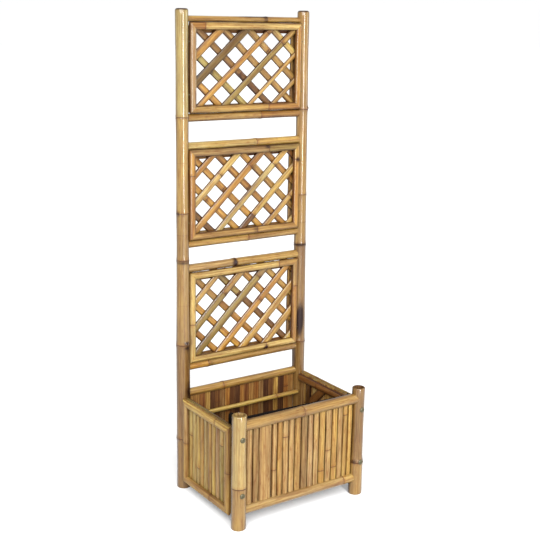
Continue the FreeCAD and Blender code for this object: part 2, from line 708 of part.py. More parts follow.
wall_thickness = cell("liner_wall")
liner_floor = floor_z + cell("floor_slat_thickness")
liner_half, liner_front, liner_back = (cell("liner_half_width"), cell("liner_front"),
                                       cell("liner_back"))
liner_top, liner_low = cell("liner_top"), cell("liner_low")
flap_end, flap_corner = cell("liner_flap_end"), cell("liner_flap_corner")
shell_outside = rounded_box("liner_outside", liner_half, liner_front, liner_back, liner_floor,
                            liner_top, cell("liner_corner"))
shell_inside = rounded_box("liner_inside", liner_half - wall_thickness,
                           liner_front + wall_thickness, liner_back - wall_thickness,
                           liner_floor + wall_thickness, liner_top + spare,
                           cell("liner_corner") - wall_thickness)
notch_height = liner_top - liner_low + spare
rear_notch = box("liner_rear_notch",
                 (liner_half * 2 + spare * 2, liner_back - flap_end + spare, notch_height),
                 (-liner_half - spare, flap_end, liner_low))
right_notch = box("liner_right_notch",
                  (liner_half, flap_end - cell("liner_right_end") + spare, notch_height),
                  (spare, cell("liner_right_end"), liner_low))
# the flap's rear corner is rounded, and the rim falls to the right
corner_block = box("liner_corner_block", (spare * 4, flap_corner, flap_corner + spare),
                   (-liner_half - spare, flap_end - flap_corner, liner_top - flap_corner))
corner_round = cylinder("liner_corner_round", flap_corner, spare * 4,
                        (-liner_half - spare, flap_end - flap_corner, liner_top - flap_corner),
                        (1, 0, 0))
corner_notch = cut("liner_corner_notch", corner_block, [corner_round])
rim_trim = box("liner_rim_trim",
               (liner_half * 2 + spare * 2, liner_back - liner_front + spare * 2, spare * 2),
               (-liner_half - spare, liner_front - spare, liner_top),
               Rotation(Vector(0, 1, 0), cell("liner_fall").value))
sub_part(cut("liner_cut", shell_outside,
             [shell_inside, rear_notch, right_notch, corner_notch, rim_trim]), "liner")

# ---------------------------------------------------------------- inner rod
rod_reach = cell("rod_half_length")
rod = cane("rod", rod_reach * 2, cell("rod_radius"), [rod_reach + cell("rod_node")])
place(rod, (-rod_reach, cell("rod_y"), cell("rod_z")), Rotation(Vector(0, 1, 0), 90))
sub_part(cut("rod_cut", rod, [rail_pins] + back_culms), "inner_rod")

# ---------------------------------------------------------------- check and write
document.recompute()
for thing in document.Objects:
    if "Invalid" in thing.State or "Error" in thing.State:
        raise RuntimeError("%s failed to build: %s" % (thing.Label, thing.State))
os.makedirs("parts", exist_ok=True)
whole = FreeCAD.BoundBox()
for thing in sub_parts:
    shape = thing.Shape
    if shape.isNull() or not shape.isValid() or not shape.Solids:
        raise RuntimeError("%s has no valid solid" % thing.Label)
    shape.exportStep("parts/%s.step" % thing.Label)
    whole.add(shape.BoundBox)
    print("%-26s %3d solids %10.1f cm3" % (thing.Label, len(shape.Solids), shape.Volume / 1000))
print(len(sub_parts), "sub-parts, overall", whole.XLength, whole.YLength, whole.ZLength)
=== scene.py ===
# %% [markdown]
# # A bamboo planter with a trellis
# The real planter is made of two things only: whole canes, and canes split lengthwise into
# strips. This script builds both kinds once, as two short recipes, and uses them for every post,
# rail, frame, lattice strip and wall slat.
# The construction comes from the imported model, so each new piece stands where a solid already
# is. Here it only gets the swellings, scars, stains and gloss that make bamboo look like bamboo.

# %% Load the frame
import json
import math
import random

import bmesh
import bpy
from mathutils import Matrix, Vector, noise

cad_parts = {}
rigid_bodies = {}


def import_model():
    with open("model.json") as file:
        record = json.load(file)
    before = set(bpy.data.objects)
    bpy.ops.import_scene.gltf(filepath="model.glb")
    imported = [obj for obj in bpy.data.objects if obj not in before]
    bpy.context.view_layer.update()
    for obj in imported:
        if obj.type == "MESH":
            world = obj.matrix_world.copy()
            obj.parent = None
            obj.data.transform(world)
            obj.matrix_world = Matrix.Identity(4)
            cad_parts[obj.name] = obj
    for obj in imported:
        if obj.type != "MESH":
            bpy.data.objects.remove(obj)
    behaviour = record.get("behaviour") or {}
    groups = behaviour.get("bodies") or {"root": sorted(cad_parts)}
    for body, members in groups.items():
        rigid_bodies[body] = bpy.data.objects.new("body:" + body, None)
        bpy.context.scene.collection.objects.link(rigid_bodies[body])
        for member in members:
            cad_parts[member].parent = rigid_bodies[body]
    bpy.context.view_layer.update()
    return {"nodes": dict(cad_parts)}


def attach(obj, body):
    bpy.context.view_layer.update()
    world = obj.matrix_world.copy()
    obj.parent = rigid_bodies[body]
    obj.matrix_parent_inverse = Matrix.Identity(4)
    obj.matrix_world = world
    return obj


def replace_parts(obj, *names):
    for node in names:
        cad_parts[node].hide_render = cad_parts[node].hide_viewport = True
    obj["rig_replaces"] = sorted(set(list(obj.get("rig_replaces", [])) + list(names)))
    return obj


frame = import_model()
MM = 0.001
print("nodes in the frame:", len(frame["nodes"]))

# %% [markdown]
# ## Camera
# The camera stands to the left of the planter and a little above its middle, and looks slightly
# down. Its place was found by matching the posts and rails, so it is written out as numbers:
# a place, a heading, a downward pitch and a small roll. Building the axes from the angles is
# clearer than pasting a matrix.

# %% Camera


def placing(origin, x_axis, y_axis, z_axis):
    """The matrix that takes a thing's own three axes to these directions, and its origin here."""
    turned = Matrix((x_axis, y_axis, z_axis)).transposed().to_4x4()
    return Matrix.Translation(origin) @ turned


CAMERA_PLACE = Vector((-1519.1, -2218.9, 1329.8)) * MM
HEADING, PITCH, ROLL = 0.5975451, 0.2454962, 0.0168248
LENS_MM = 67.17

forward = Vector((math.sin(HEADING) * math.cos(PITCH), math.cos(HEADING) * math.cos(PITCH),
                  -math.sin(PITCH)))
level_right = Vector((math.cos(HEADING), -math.sin(HEADING), 0))
level_up = level_right.cross(forward)
camera_right = level_right * math.cos(ROLL) + level_up * math.sin(ROLL)
camera_up = level_up * math.cos(ROLL) - level_right * math.sin(ROLL)

camera_data = bpy.data.cameras.new("camera")
camera_data.lens = LENS_MM
camera_data.sensor_width = 36
camera = bpy.data.objects.new("camera", camera_data)
camera.matrix_world = placing(CAMERA_PLACE, camera_right, camera_up, -forward)
bpy.context.scene.collection.objects.link(camera)
bpy.context.scene.camera = camera
print("camera heading", round(math.degrees(HEADING), 1), "degrees")

# %% [markdown]
# ## Floor and light
# A product picture like this is lit from near the camera by a broad soft light, with a tall soft
# box that draws one long white line down every lacquered post, in a white room that fills the
# shadows. A wide sun lamp gives the shape and lights the whole floor alike, so the floor runs into
# the white background without a line. The room is kept dimmer than the lamp, which leaves the
# sides of the canes darker than their middles, and the exposure brings the room back to white.

# %% Floor and light
WORLD_STRENGTH = 0.4
EXPOSURE = 1.33
SUN_FROM, SUN_STRENGTH, SUN_ANGLE = (-1.8, -2.3, 2.1), 3.1, math.radians(55)


def soft_box(name, place, target, width, height, power):
    """An area light that faces its target."""
    data = bpy.data.lights.new(name, "AREA")
    data.shape = "RECTANGLE"
    data.size, data.size_y, data.energy = width, height, power
    light = bpy.data.objects.new(name, data)
    light.location = place
    light.rotation_euler = (Vector(target) - Vector(place)).to_track_quat("-Z", "Y").to_euler()
    bpy.context.scene.collection.objects.link(light)


soft_box("line_light", (-0.35, -3.2, 1.3), (0.0, 0.15, 0.95), 0.3, 2.4, 60)
soft_box("side_light", (2.9, -1.5, 1.6), (0.0, 0.0, 0.4), 0.45, 2.0, 12)
sun_data = bpy.data.lights.new("sun", "SUN")
sun_data.energy, sun_data.angle = SUN_STRENGTH, SUN_ANGLE
sun = bpy.data.objects.new("sun", sun_data)
sun.rotation_euler = Vector(SUN_FROM).to_track_quat("Z", "Y").to_euler()
bpy.context.scene.collection.objects.link(sun)

world = bpy.data.worlds.new("white_room")
world.use_nodes = True
world.node_tree.nodes["Background"].inputs["Color"].default_value = (1, 1, 1, 1)
world.node_tree.nodes["Background"].inputs["Strength"].default_value = WORLD_STRENGTH
bpy.context.scene.world = world
bpy.context.scene.view_settings.view_transform = "Standard"
bpy.context.scene.view_settings.exposure = EXPOSURE

floor_mesh = bpy.data.meshes.new("floor")
sheet = bmesh.new()
bmesh.ops.create_grid(sheet, x_segments=1, y_segments=1, size=40)
sheet.to_mesh(floor_mesh)
sheet.free()
floor = bpy.data.objects.new("floor", floor_mesh)
bpy.context.scene.collection.objects.link(floor)

# %% [markdown]
# ## Writing shader maths as Python
# A finish is a network of nodes. Wired by hand it is long and hard to read, so a small class
# wraps one output of a node and turns + - * into Math nodes. Every other node comes from one
# method, `node`, which takes the kind, its settings and the values or links of its sockets.

# %% A wrapped socket


class Wire:
    """One output of a shader node, which can be used in sums."""

    def __init__(self, finish, socket):
        self.finish = finish
        self.socket = socket

    def maths(self, operation, first, second):
        return self.finish.node("Math", {"operation": operation}, {0: first, 1: second})

    def __add__(self, other):
        return self.maths("ADD", self, other)

    def __radd__(self, other):
        return self.maths("ADD", other, self)

    def __sub__(self, other):
        return self.maths("SUBTRACT", self, other)

    def __rsub__(self, other):
        return self.maths("SUBTRACT", other, self)

    def __mul__(self, other):
        return self.maths("MULTIPLY", self, other)

    def __rmul__(self, other):
        return self.maths("MULTIPLY", other, self)

    def __abs__(self):
        return self.finish.node("Math", {"operation": "ABSOLUTE"}, {0: self})

    def step(self, start, end, low=0.0, high=1.0):
        """The value as a smooth step from low to high between start and end."""
        return self.finish.node("MapRange", {"interpolation_type": "SMOOTHSTEP"},
                                {"Value": self, "From Min": start, "From Max": end,
                                 "To Min": low, "To Max": high})


class Finish:
    """A material that is being built."""

    def __init__(self, name):
        self.material = bpy.data.materials.new(name)
        self.material.use_nodes = True
        self.tree = self.material.node_tree
        self.shader = self.tree.nodes["Principled BSDF"]

    def connect(self, socket, value):
        if isinstance(value, Wire):
            self.tree.links.new(value.socket, socket)
        else:
            socket.default_value = value

    def node(self, kind, settings=None, sockets=None, output=0):
        """Add one node: its settings first, then its sockets; returns one output."""
        made = self.tree.nodes.new("ShaderNode" + kind)
        for name, value in (settings or {}).items():
            if name == "stops":
                while len(made.color_ramp.elements) < len(value):
                    made.color_ramp.elements.new(0.5)
                for element, (position, color) in zip(made.color_ramp.elements, value):
                    element.position, element.color = position, color
            else:
                setattr(made, name, value)
        for name, value in (sockets or {}).items():
            if isinstance(name, int):
                socket = made.inputs[name]
            else:
                socket = [s for s in made.inputs if s.name == name and s.enabled][0]
            self.connect(socket, value)
        if isinstance(output, int):
            return Wire(self, made.outputs[output])
        return Wire(self, [s for s in made.outputs if s.name == output and s.enabled][0])

    def blend(self, share, first, second, how="MIX"):
        """Mix two colours."""
        return self.node("Mix", {"data_type": "RGBA", "blend_type": how, "clamp_factor": True},
                         {"Factor": share, "A": first, "B": second}, output="Result")

    def surface(self, **sockets):
        """Set the shader's sockets; an underscore stands for the space in a socket's name."""
        for name, value in sockets.items():
            self.connect(self.shader.inputs[name.replace("_", " ")], value)
        return self.material


print("a finish can be written as sums of wires")

# %% [markdown]
# ## What bamboo looks like
# Under its lacquer a cane has fine fibres along its length, broad cloudy patches, small dark
# freckles and, at every joint of the plant, a dark ring with a paler band above it. All of that
# runs along the cane, whichever way the cane points. So each piece carries its own directions in
# an attribute: `grain` is the place along and across the piece, `tone` its basic colour, `knot`
# the distance to the nearest joint, `stain` how scorched or dirty it is there, and `edge` how far
# it is from the middle of a strip, or round a cane from its lit side. From `edge` the finish
# paints shade on edges and unlit sides, and a highlight on the middle.
# The finish only reads those five, so one recipe fits an upright post and a slanting strip.

# %% Colours and noise


def srgb(red, green, blue):
    """A colour as a shader wants it, from the usual 0 to 255 numbers."""
    def linear(value):
        share = value / 255
        return share / 12.92 if share <= 0.04045 else ((share + 0.055) / 1.055) ** 2.4
    return (linear(red), linear(green), linear(blue), 1)


# what each marking multiplies the cane's colour by, and the two inks that are painted over it; the
# edge tint is painted shade on a piece's edges and round a cane's unlit side, not a marking
TINTS = {
    "fibre": srgb(184, 150, 118), "cloud": srgb(214, 176, 138), "green": srgb(236, 238, 205),
    "edge": srgb(142, 108, 72), "joint_shade": srgb(196, 148, 100),
    "joint_band": srgb(255, 236, 200), "scorch": srgb(80, 42, 26),
}
FRECKLE_INK, JOINT_INK = srgb(96, 62, 34), srgb(58, 32, 14)


def read(finish, name, output="Fac"):
    return finish.node("Attribute", {"attribute_name": name}, output=output)


def fleck(grain, along, across, detail, roughness):
    """Noise with its own scale along and across the fibres, in features per metre."""
    stretched = grain.finish.node("VectorMath", {"operation": "MULTIPLY"},
                                  {0: grain, 1: (along, across, across)})
    return grain.finish.node("TexNoise", {}, {"Vector": stretched, "Scale": 1.0, "Detail": detail,
                                              "Roughness": roughness}, output="Fac")


def tinted(color, share, tint):
    """The colour multiplied by one of the tints, as far as share says."""
    finish = color.finish
    return finish.blend(share, color, finish.blend(1.0, color, TINTS[tint], "MULTIPLY"))


print("tints that mark a cane:", ", ".join(TINTS))

# %% The bamboo finish


def bamboo(name, roughness, coat, streak, patch, freckle, relief, light=1.0, edge_shade=0.75,
           crown_highlight=0.12):
    """A bamboo finish; streak, patch and freckle say how strong each kind of marking is, light how
    bright the whole is, and the last two how much painted shade darkens its edges and how strong
    the painted highlight along its crown is."""
    finish = Finish(name)
    grain, tone = read(finish, "grain", "Vector"), read(finish, "tone", "Color")
    knot, stain, edge = (read(finish, name) for name in ("knot", "stain", "edge"))

    # noise keeps near its middle value, so the three that show most are stretched to 0 and 1
    fibres, hairs, clouds = (
        fleck(grain, *sizes).step(0.32, 0.68)
        for sizes in ((8, 240, 3, 0.6), (24, 900, 2, 0.6), (9, 38, 3, 0.55)))
    mottle = fleck(grain, 45, 190, 4, 0.65)
    freckles = fleck(grain, 420, 900, 1, 0.5).step(0.66, 0.76)
    freckled = fleck(grain, 30, 60, 2, 0.5).step(0.5, 0.62)

    # painted highlight: the middle of a strip, and a cane's lit side, are made lighter
    polish = edge.step(0.0, 0.3, crown_highlight, 0.0)
    bright = light + polish + (hairs - 0.5) * (streak * 0.4) + (clouds - 0.5) * (patch * 0.5)
    color = finish.node("VectorMath", {"operation": "SCALE"}, {"Vector": tone, "Scale": bright})
    color = tinted(color, (1 - fibres) * streak, "fibre")
    color = tinted(color, mottle.step(0.5, 0.7) * (patch * 1.2), "cloud")
    color = tinted(color, clouds.step(0.55, 1.0) * 0.5, "green")
    color = finish.blend(freckles * freckled * freckle, color, FRECKLE_INK)
    # painted shade: darker towards a strip's edges and round a cane away from its lit side
    color = tinted(color, (edge + (0.5 - fibres) * 0.3).step(0.3, 0.95) * edge_shade, "edge")

    # at a joint: a thin dark line, a paler band above it and a soft shade on both sides
    wobble = (fleck(grain, 3, 160, 2, 0.5) - 0.5) * 0.003
    away = abs(knot + wobble)
    line = away.step(0.0005, 0.002, 1.0, 0.0)
    band = abs(knot + wobble - 0.0045).step(0.001, 0.006, 1.0, 0.0)
    color = tinted(color, away.step(0.001, 0.013, 1.0, 0.0) * (0.05 + mottle * 0.25), "joint_shade")
    color = tinted(color, band * 0.35, "joint_band")
    color = finish.blend(line * (0.6 + mottle * 0.7), color, JOINT_INK)

    soaked = (stain + (mottle - 0.5) * 0.5 * stain).step(0.05, 0.95)
    color = tinted(color, soaked, "scorch")

    height = hairs * 0.25 + fibres * 0.5 + mottle * 0.25 - line * 0.6
    normal = finish.node("Bump", {}, {"Strength": relief, "Distance": 0.0004, "Height": height})
    rough = roughness + (fibres - 0.5) * 0.12 + (mottle - 0.5) * 0.14 + soaked * 0.12
    # the lacquer is thin on edges, and gone where the cane is scorched or cracked at a joint
    lacquer = edge.step(0.35, 0.9, coat, coat * 0.1) * (1 - soaked * 0.85) * (1 - line * 0.8)
    return finish.surface(Base_Color=color, Roughness=rough, Normal=normal, Coat_Weight=lacquer,
                          Coat_Roughness=0.12, Specular_IOR_Level=0.18)


print("the recipe for bamboo is ready")

# %% [markdown]
# ## The finishes of this planter
# The posts and rails are polished and lacquered, the strips of the trellis a little less, and
# the wall slats are rougher. The inside of a split cane has no skin, so it is dull and shows its
# fibres; on the wall slats it is made much paler than on the frames, as painted light that lifts
# the shade inside the box, and a sawn end is dull too. The plain materials, plastic, zinc and
# whittled wood, need only noise in the planter's own space.

# %% The finishes
# in each bamboo finish the settings after light say how much painted shade darkens the edges and
# how strong the painted highlight on the crown is
finishes = {
    "post": bamboo("polished_post", 0.3, 0.65, 0.6, 0.5, 0.8, 0.25, edge_shade=0.8, crown_highlight=0.0),
    "rail": bamboo("polished_rail", 0.34, 0.45, 0.75, 0.6, 0.8, 0.3, edge_shade=0.85, crown_highlight=0.1),
    "strip": bamboo("lacquered_strip", 0.38, 0.34, 0.8, 0.6, 0.7, 0.35, edge_shade=0.9, crown_highlight=0.25),
    "slat": bamboo("satin_slat", 0.5, 0.06, 0.8, 0.7, 0.9, 0.4, light=1.2, edge_shade=0.5, crown_highlight=0.05),
    "inside": bamboo("split_face", 0.66, 0.0, 0.9, 0.5, 0.5, 0.8, light=1.1, edge_shade=0.4),
    # the inside of the wall slats is made much brighter: painted light that lifts the shade inside
    # the box
    "painted_light_inside": bamboo("slat_inside", 0.6, 0.0, 0.8, 0.5, 0.5, 0.6, light=1.9, edge_shade=0.7),
    "sawn": bamboo("sawn_end", 0.75, 0.0, 0.5, 0.3, 0.3, 0.7, light=0.8, edge_shade=0.3),
}


def speckle(finish, scale, detail, distortion=0.0):
    """Noise in the planter's own space, in features per metre."""
    place = finish.node("TexCoord", {}, {}, output="Object")
    return finish.node("TexNoise", {}, {"Vector": place, "Scale": scale, "Detail": detail,
                                        "Distortion": distortion}, output="Fac")


def pale_floor():
    finish = Finish("pale_floor")
    tint = finish.blend(speckle(finish, 3.0, 2.0), (0.53, 0.53, 0.53, 1), (0.54, 0.54, 0.54, 1))
    return finish.surface(Base_Color=tint, Roughness=0.8, Specular_IOR_Level=0.15)


def black_plastic():
    """Thin black sheet: nearly smooth, with faint wrinkles and dust."""
    finish = Finish("black_plastic")
    wrinkle, dust = speckle(finish, 26.0, 4.0, 0.6), speckle(finish, 240.0, 3.0)
    tint = finish.blend(dust.step(0.5, 0.8), (0.002, 0.0012, 0.0008, 1), (0.005, 0.004, 0.003, 1))
    normal = finish.node("Bump", {}, {"Strength": 0.35, "Distance": 0.002, "Height": wrinkle})
    return finish.surface(Base_Color=tint, Roughness=0.55 + dust * 0.2, Normal=normal,
                          Specular_IOR_Level=0.04)


def zinc():
    """Dulled zinc plate on the screws."""
    finish = Finish("dulled_zinc")
    spots = speckle(finish, 700.0, 3.0)
    tint = finish.blend(spots, srgb(76, 70, 42), srgb(34, 30, 18))
    return finish.surface(Base_Color=tint, Metallic=0.3, Roughness=0.35 + spots * 0.25)


def whittled_dowel():
    finish = Finish("whittled_dowel")
    fibre = speckle(finish, 900.0, 2.0)
    tint = finish.blend(fibre, srgb(196, 156, 96), srgb(150, 106, 58))
    return finish.surface(Base_Color=tint, Roughness=0.6 + fibre * 0.2)


finishes["liner"] = black_plastic()
finishes["screw"] = zinc()
finishes["dowel"] = whittled_dowel()
floor.data.materials.append(pale_floor())
print("finishes:", ", ".join(sorted(finishes)))

# %% [markdown]
# ## Tones
# No two strips of bamboo have the same colour, and that patchwork is what one sees first. A
# maker would name the lots, so the script does too, and each piece takes one name per stretch
# between two joints.

# %% Tones
# the colours as they look in full light; the skin itself is darker and warmer by SKIN_SHARE
TONES = {
    "straw": srgb(212, 180, 116), "pale": srgb(200, 176, 128), "honey": srgb(200, 162, 102),
    "golden": srgb(198, 150, 84), "amber": srgb(180, 132, 74), "tan": srgb(184, 146, 94),
    "brown": srgb(158, 120, 76), "olive": srgb(160, 134, 82), "sage": srgb(184, 164, 108),
    "moss": srgb(130, 102, 58), "umber": srgb(124, 86, 50), "pink": srgb(194, 160, 126),
    "russet": srgb(146, 98, 58), "dark": srgb(98, 64, 36), "grey": srgb(164, 132, 94),
    "buff": srgb(192, 158, 116), "cream": srgb(214, 184, 130),
}
SKIN_SHARE = (0.3, 0.302, 0.222)


def shaded(tone, chance):
    """A tone a little lighter or darker, as one cane differs from the next."""
    factor = chance.uniform(0.94, 1.06)
    return tuple(part * share * factor for part, share in zip(TONES[tone], SKIN_SHARE)) + (1,)


print("tones:", len(TONES))

# %% [markdown]
# ## Marking a piece
# Before a piece is put in place it lies along its own axis, which is when its directions are
# easiest to write down. `mark` stores the five attributes on every vertex. A stain is a soft
# spot with a place, a size along and across, and a strength; `edge_at` is a function of the place.

# %% Marking a piece
FAR = 0.2


def knot_distance(along, knots):
    """Signed distance to the nearest joint, at most FAR, which also stands for no joint at all."""
    if not knots:
        return FAR
    nearest = min(knots, key=lambda knot: abs(along - knot))
    return max(-FAR, min(FAR, along - nearest))


def mark(piece, tones, knots, stains, chance, edge_at):
    """Write grain, tone, knot, stain and edge on a piece that lies along +X."""
    grain = piece.verts.layers.float_vector.new("grain")
    tone = piece.verts.layers.float_color.new("tone")
    knot = piece.verts.layers.float.new("knot")
    stain = piece.verts.layers.float.new("stain")
    edge = piece.verts.layers.float.new("edge")
    offset = Vector([chance.uniform(0, 20) for _ in range(3)])
    stretches = [shaded(tones[count % len(tones)], chance) for count in range(len(knots) + 1)]
    for vertex in piece.verts:
        along = vertex.co.x
        vertex[grain] = vertex.co + offset
        vertex[tone] = stretches[sum(along > place for place in knots)]
        vertex[knot] = knot_distance(along, knots)
        soak = 0.0
        for place, size, strength in stains:
            gap = [(vertex.co[axis] - place[axis]) / size[axis] for axis in range(3)]
            soak += strength * math.exp(-sum(number * number for number in gap))
        vertex[stain] = min(1.0, soak)
        vertex[edge] = edge_at(vertex.co)


print("a place 3 mm past a joint at 50 mm:", knot_distance(0.053, [0.05]))

# %% Putting and showing a piece


def put(piece, origin, along, across):
    """Move a piece from its own axes to its place in mm: +X to along and +Y to across."""
    outward = Vector(along).cross(Vector(across))
    matrix = placing(Vector(origin) * MM, along, across, outward)
    bmesh.ops.transform(piece, matrix=matrix, verts=piece.verts)
    return piece


# a piece's finishes: its skin comes first, then its inner face and its sawn ends
INNER, ENDS = 1, 2
RAIL_LOOKS, STRIP_LOOKS = ("rail", "inside", "sawn"), ("strip", "inside", "sawn")
SLAT_LOOKS = ("slat", "painted_light_inside", "sawn")
SHARP_ANGLE = math.radians(38)
made = {}


def show(node, pieces, looks, ending="bamboo"):
    """Join pieces into one object that stands for a CAD node."""
    whole = bmesh.new()
    for piece in pieces:
        part = bpy.data.meshes.new("part")
        piece.to_mesh(part)
        piece.free()
        whole.from_mesh(part)
        bpy.data.meshes.remove(part)
    bmesh.ops.recalc_face_normals(whole, faces=whole.faces)
    for face in whole.faces:
        face.smooth = True
    for edge in whole.edges:
        edge.smooth = len(edge.link_faces) != 2 or edge.calc_face_angle() < SHARP_ANGLE
    mesh = bpy.data.meshes.new(node + "_" + ending)
    whole.to_mesh(mesh)
    whole.free()
    for look in looks:
        mesh.materials.append(finishes[look])
    thing = bpy.data.objects.new(mesh.name, mesh)
    bpy.context.scene.collection.objects.link(thing)
    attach(thing, "root")
    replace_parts(thing, node)
    made[node] = len(mesh.polygons)
    return thing


print("finishes of a rail:", ", ".join(RAIL_LOOKS))

# %% [markdown]
# ## A whole cane
# A cane is a tube with a swelling and a sheath scar at each joint, shut inside by a thin wall
# there. It could be a curve with a bevel, but then the swelling and the open ends are awkward.
# A lathe is the natural tool: a few corners of the wall's outline are spun round the axis, then
# the vertices are nudged so that the cane is not perfectly round. A bud, the stub of a cut
# branch, is a soft bump pushed out on one side.

# %% The swelling at a joint
ROW_STEP = 22
# how a joint swells: distance along from the scar in mm, share of the ridge's height
RIDGE = ((-13, 0), (-7, 0.25), (-3, 0.75), (-1.2, 1.0), (-0.3, 0.2), (0.5, 0.3), (2.2, 0.85),
         (4.5, 0.55), (9, 0.12), (13, 0))


def ridge_share(gap):
    for (start, low), (end, high) in zip(RIDGE, RIDGE[1:]):
        if start <= gap <= end:
            return low + (high - low) * (gap - start) / (end - start)
    return 0


def cane_rows(length, knots):
    """Places along the cane where its wall has a ring of corners, in mm."""
    rows = [ROW_STEP * (count + 0.5) for count in range(int(length / ROW_STEP))]
    rows = [row for row in rows if all(abs(row - knot) > RIDGE[-1][0] for knot, _ in knots)]
    rows += [knot + gap for knot, _ in knots for gap, _ in RIDGE]
    return sorted(row for row in rows if 2.5 < row < length - 2.5)


print("rings of corners on a short cane:", len(cane_rows(200, [(100, 1)])))

# %% A lathe


def lathe(outline, steps):
    """Spin an outline of (radius, place) corners round the X axis."""
    piece = bmesh.new()
    corners = [piece.verts.new((place, distance, 0)) for distance, place in outline]
    for first, second in zip(corners, corners[1:]):
        piece.edges.new((first, second))
    bmesh.ops.spin(piece, geom=piece.verts[:] + piece.edges[:], axis=(1, 0, 0), cent=(0, 0, 0),
                   dvec=(0, 0, 0), angle=math.tau, steps=steps, use_merge=True)
    bmesh.ops.remove_doubles(piece, verts=piece.verts, dist=1e-4)
    return piece


test_ring = lathe([(1, 0), (2, 0), (2, 1)], 12)
print("faces in a test ring:", len(test_ring.faces))
test_ring.free()

# %% The outline of a cane
CANE_WALL = 4.5
# a cane is a little thinner between two joints; its edge is rounded more where its end is shut
WAIST_SHARE, OPEN_CROWN, SHUT_CROWN = 0.022, 2.2, 5.5


def cane_outline(length, radius, knots, low_end, high_end, foot, taper):
    """The corners (radius, place) of a cane's wall from its low end to its high end, in mm."""
    inner = radius - CANE_WALL

    def skin(row):
        share = min(max((taper[1] - row) / (taper[1] - taper[0]), 0), 1)
        return radius + ((foot or radius) - radius) * share

    outline = [(0, 0)]
    if low_end:
        outline = [(0, low_end), (inner, low_end), (inner, 0.6), (inner + 0.6, 0)]
    outline += [(skin(0) - 1, 0), (skin(0) - 0.3, 0.35), (skin(0), 1.1)]
    ends = [0] + [knot for knot, _ in knots] + [length]
    for row in cane_rows(length, knots):
        start = max(end for end in ends if end <= row)
        stop = min(end for end in ends if end > row)
        waist = WAIST_SHARE * radius * math.sin(math.pi * (row - start) / (stop - start)) ** 2
        swell = sum(height * ridge_share(row - knot) for knot, height in knots)
        outline.append((skin(row) - waist + swell, row))
    crown = OPEN_CROWN if high_end else SHUT_CROWN
    outline += [(radius, length - crown), (radius - crown * 0.25, length - crown * 0.38),
                (radius - crown * 0.8, length)]
    if high_end:
        return outline + [(inner + 0.6, length), (inner, length - 0.6),
                          (inner, length - high_end), (0, length - high_end)]
    return outline + [(radius * 0.6, length + 0.2), (0, length + 0.3)]


print("corners in an outline:", len(cane_outline(200, 15, [(100, 1)], 60, 60, 0, (0, 1))))

# %% A whole cane
CANE_SIDES = 40
UNEVEN_SHARE, BUD_SIZE = 0.02, 4.5


def cane(length, radius, knots, tones, seed, low_end=60, high_end=60, stains=(), buds=(),
         foot=0, taper=(0, 1), pale_side=160):
    """A cane along +X, in mm and degrees. knots are (place, ridge height); an end is the depth of
    its inner wall, or 0 where the end is shut. A foot is the radius before the taper's two places,
    and the last argument the angle of the lit side, round from which the finish paints shade. A bud
    is (place, angle, height), and a stain (place, angle, length, width, strength)."""
    inner = radius - CANE_WALL
    outline = cane_outline(length, radius, knots, low_end, high_end, foot, taper)
    piece = lathe(outline, CANE_SIDES)
    for face in piece.faces:
        middle = face.calc_center_median()
        at_end = not 1 < middle.x < length - 1
        in_bore = math.hypot(middle.y, middle.z) < inner + 0.1
        if at_end and abs(face.normal.x) > 0.8:
            face.material_index = ENDS
        elif in_bore and not at_end and (low_end or high_end):
            face.material_index = INNER
    for vertex in piece.verts:
        angle = math.atan2(vertex.co.z, vertex.co.y)
        if math.hypot(vertex.co.y, vertex.co.z) < inner + 0.3:
            continue
        drift = noise.noise(Vector((vertex.co.x * 0.012 + seed, math.cos(angle), math.sin(angle))))
        push = drift * UNEVEN_SHARE * radius
        for place, bud_angle, height in buds:
            along = (vertex.co.x - place) / BUD_SIZE
            around = math.remainder(angle - math.radians(bud_angle), math.tau) * radius / BUD_SIZE
            push += height * math.exp(-along ** 2 - around ** 2)
        vertex.co.y += math.cos(angle) * push
        vertex.co.z += math.sin(angle) * push
    bmesh.ops.scale(piece, vec=(MM, MM, MM), verts=piece.verts)
    spots = []
    for place, degrees, long, wide, strength in stains:
        turn = math.radians(degrees)
        spots.append(((place * MM, math.cos(turn) * radius * MM, math.sin(turn) * radius * MM),
                      (long * MM, wide * MM, wide * MM), strength))
    # painted shade grows round the cane away from its lit side
    lit_angle = math.radians(pale_side)
    mark(piece, tones, [knot * MM for knot, _ in knots], spots, random.Random(seed),
         lambda place: 1 - max(0, math.cos(math.atan2(place.z, place.y) - lit_angle)))
    return piece


test_cane = cane(200, 15, [(100, 1)], ["honey"], 1)
print("a short cane has", len(test_cane.faces), "faces")
test_cane.free()

# %% [markdown]
# ## Posts
# The four posts are the thickest canes. The tall ones were cut just above a joint, so their tops
# are shut; the short ones in front were cut above an open stretch, and one looks down on the
# thin wall inside them. The stain at the rim of each short post's open top is painted shade
# falling into it; the other stains and the buds sit where scorching and cut branches left them,
# and the right tall post has a long scorch mark. The tall posts' tones darken towards the foot
# as painted shade. A table of sizes with one loop keeps the four alike.

# %% Posts
POST_X, POST_Y = 199, 149
# the right back post stands a little outwards at its foot and leans inwards as it rises
LEAN, LEAN_FOOT, LEAN_LIFT = math.radians(0.594), 6, 0.2
TOWARDS_CAMERA = -120

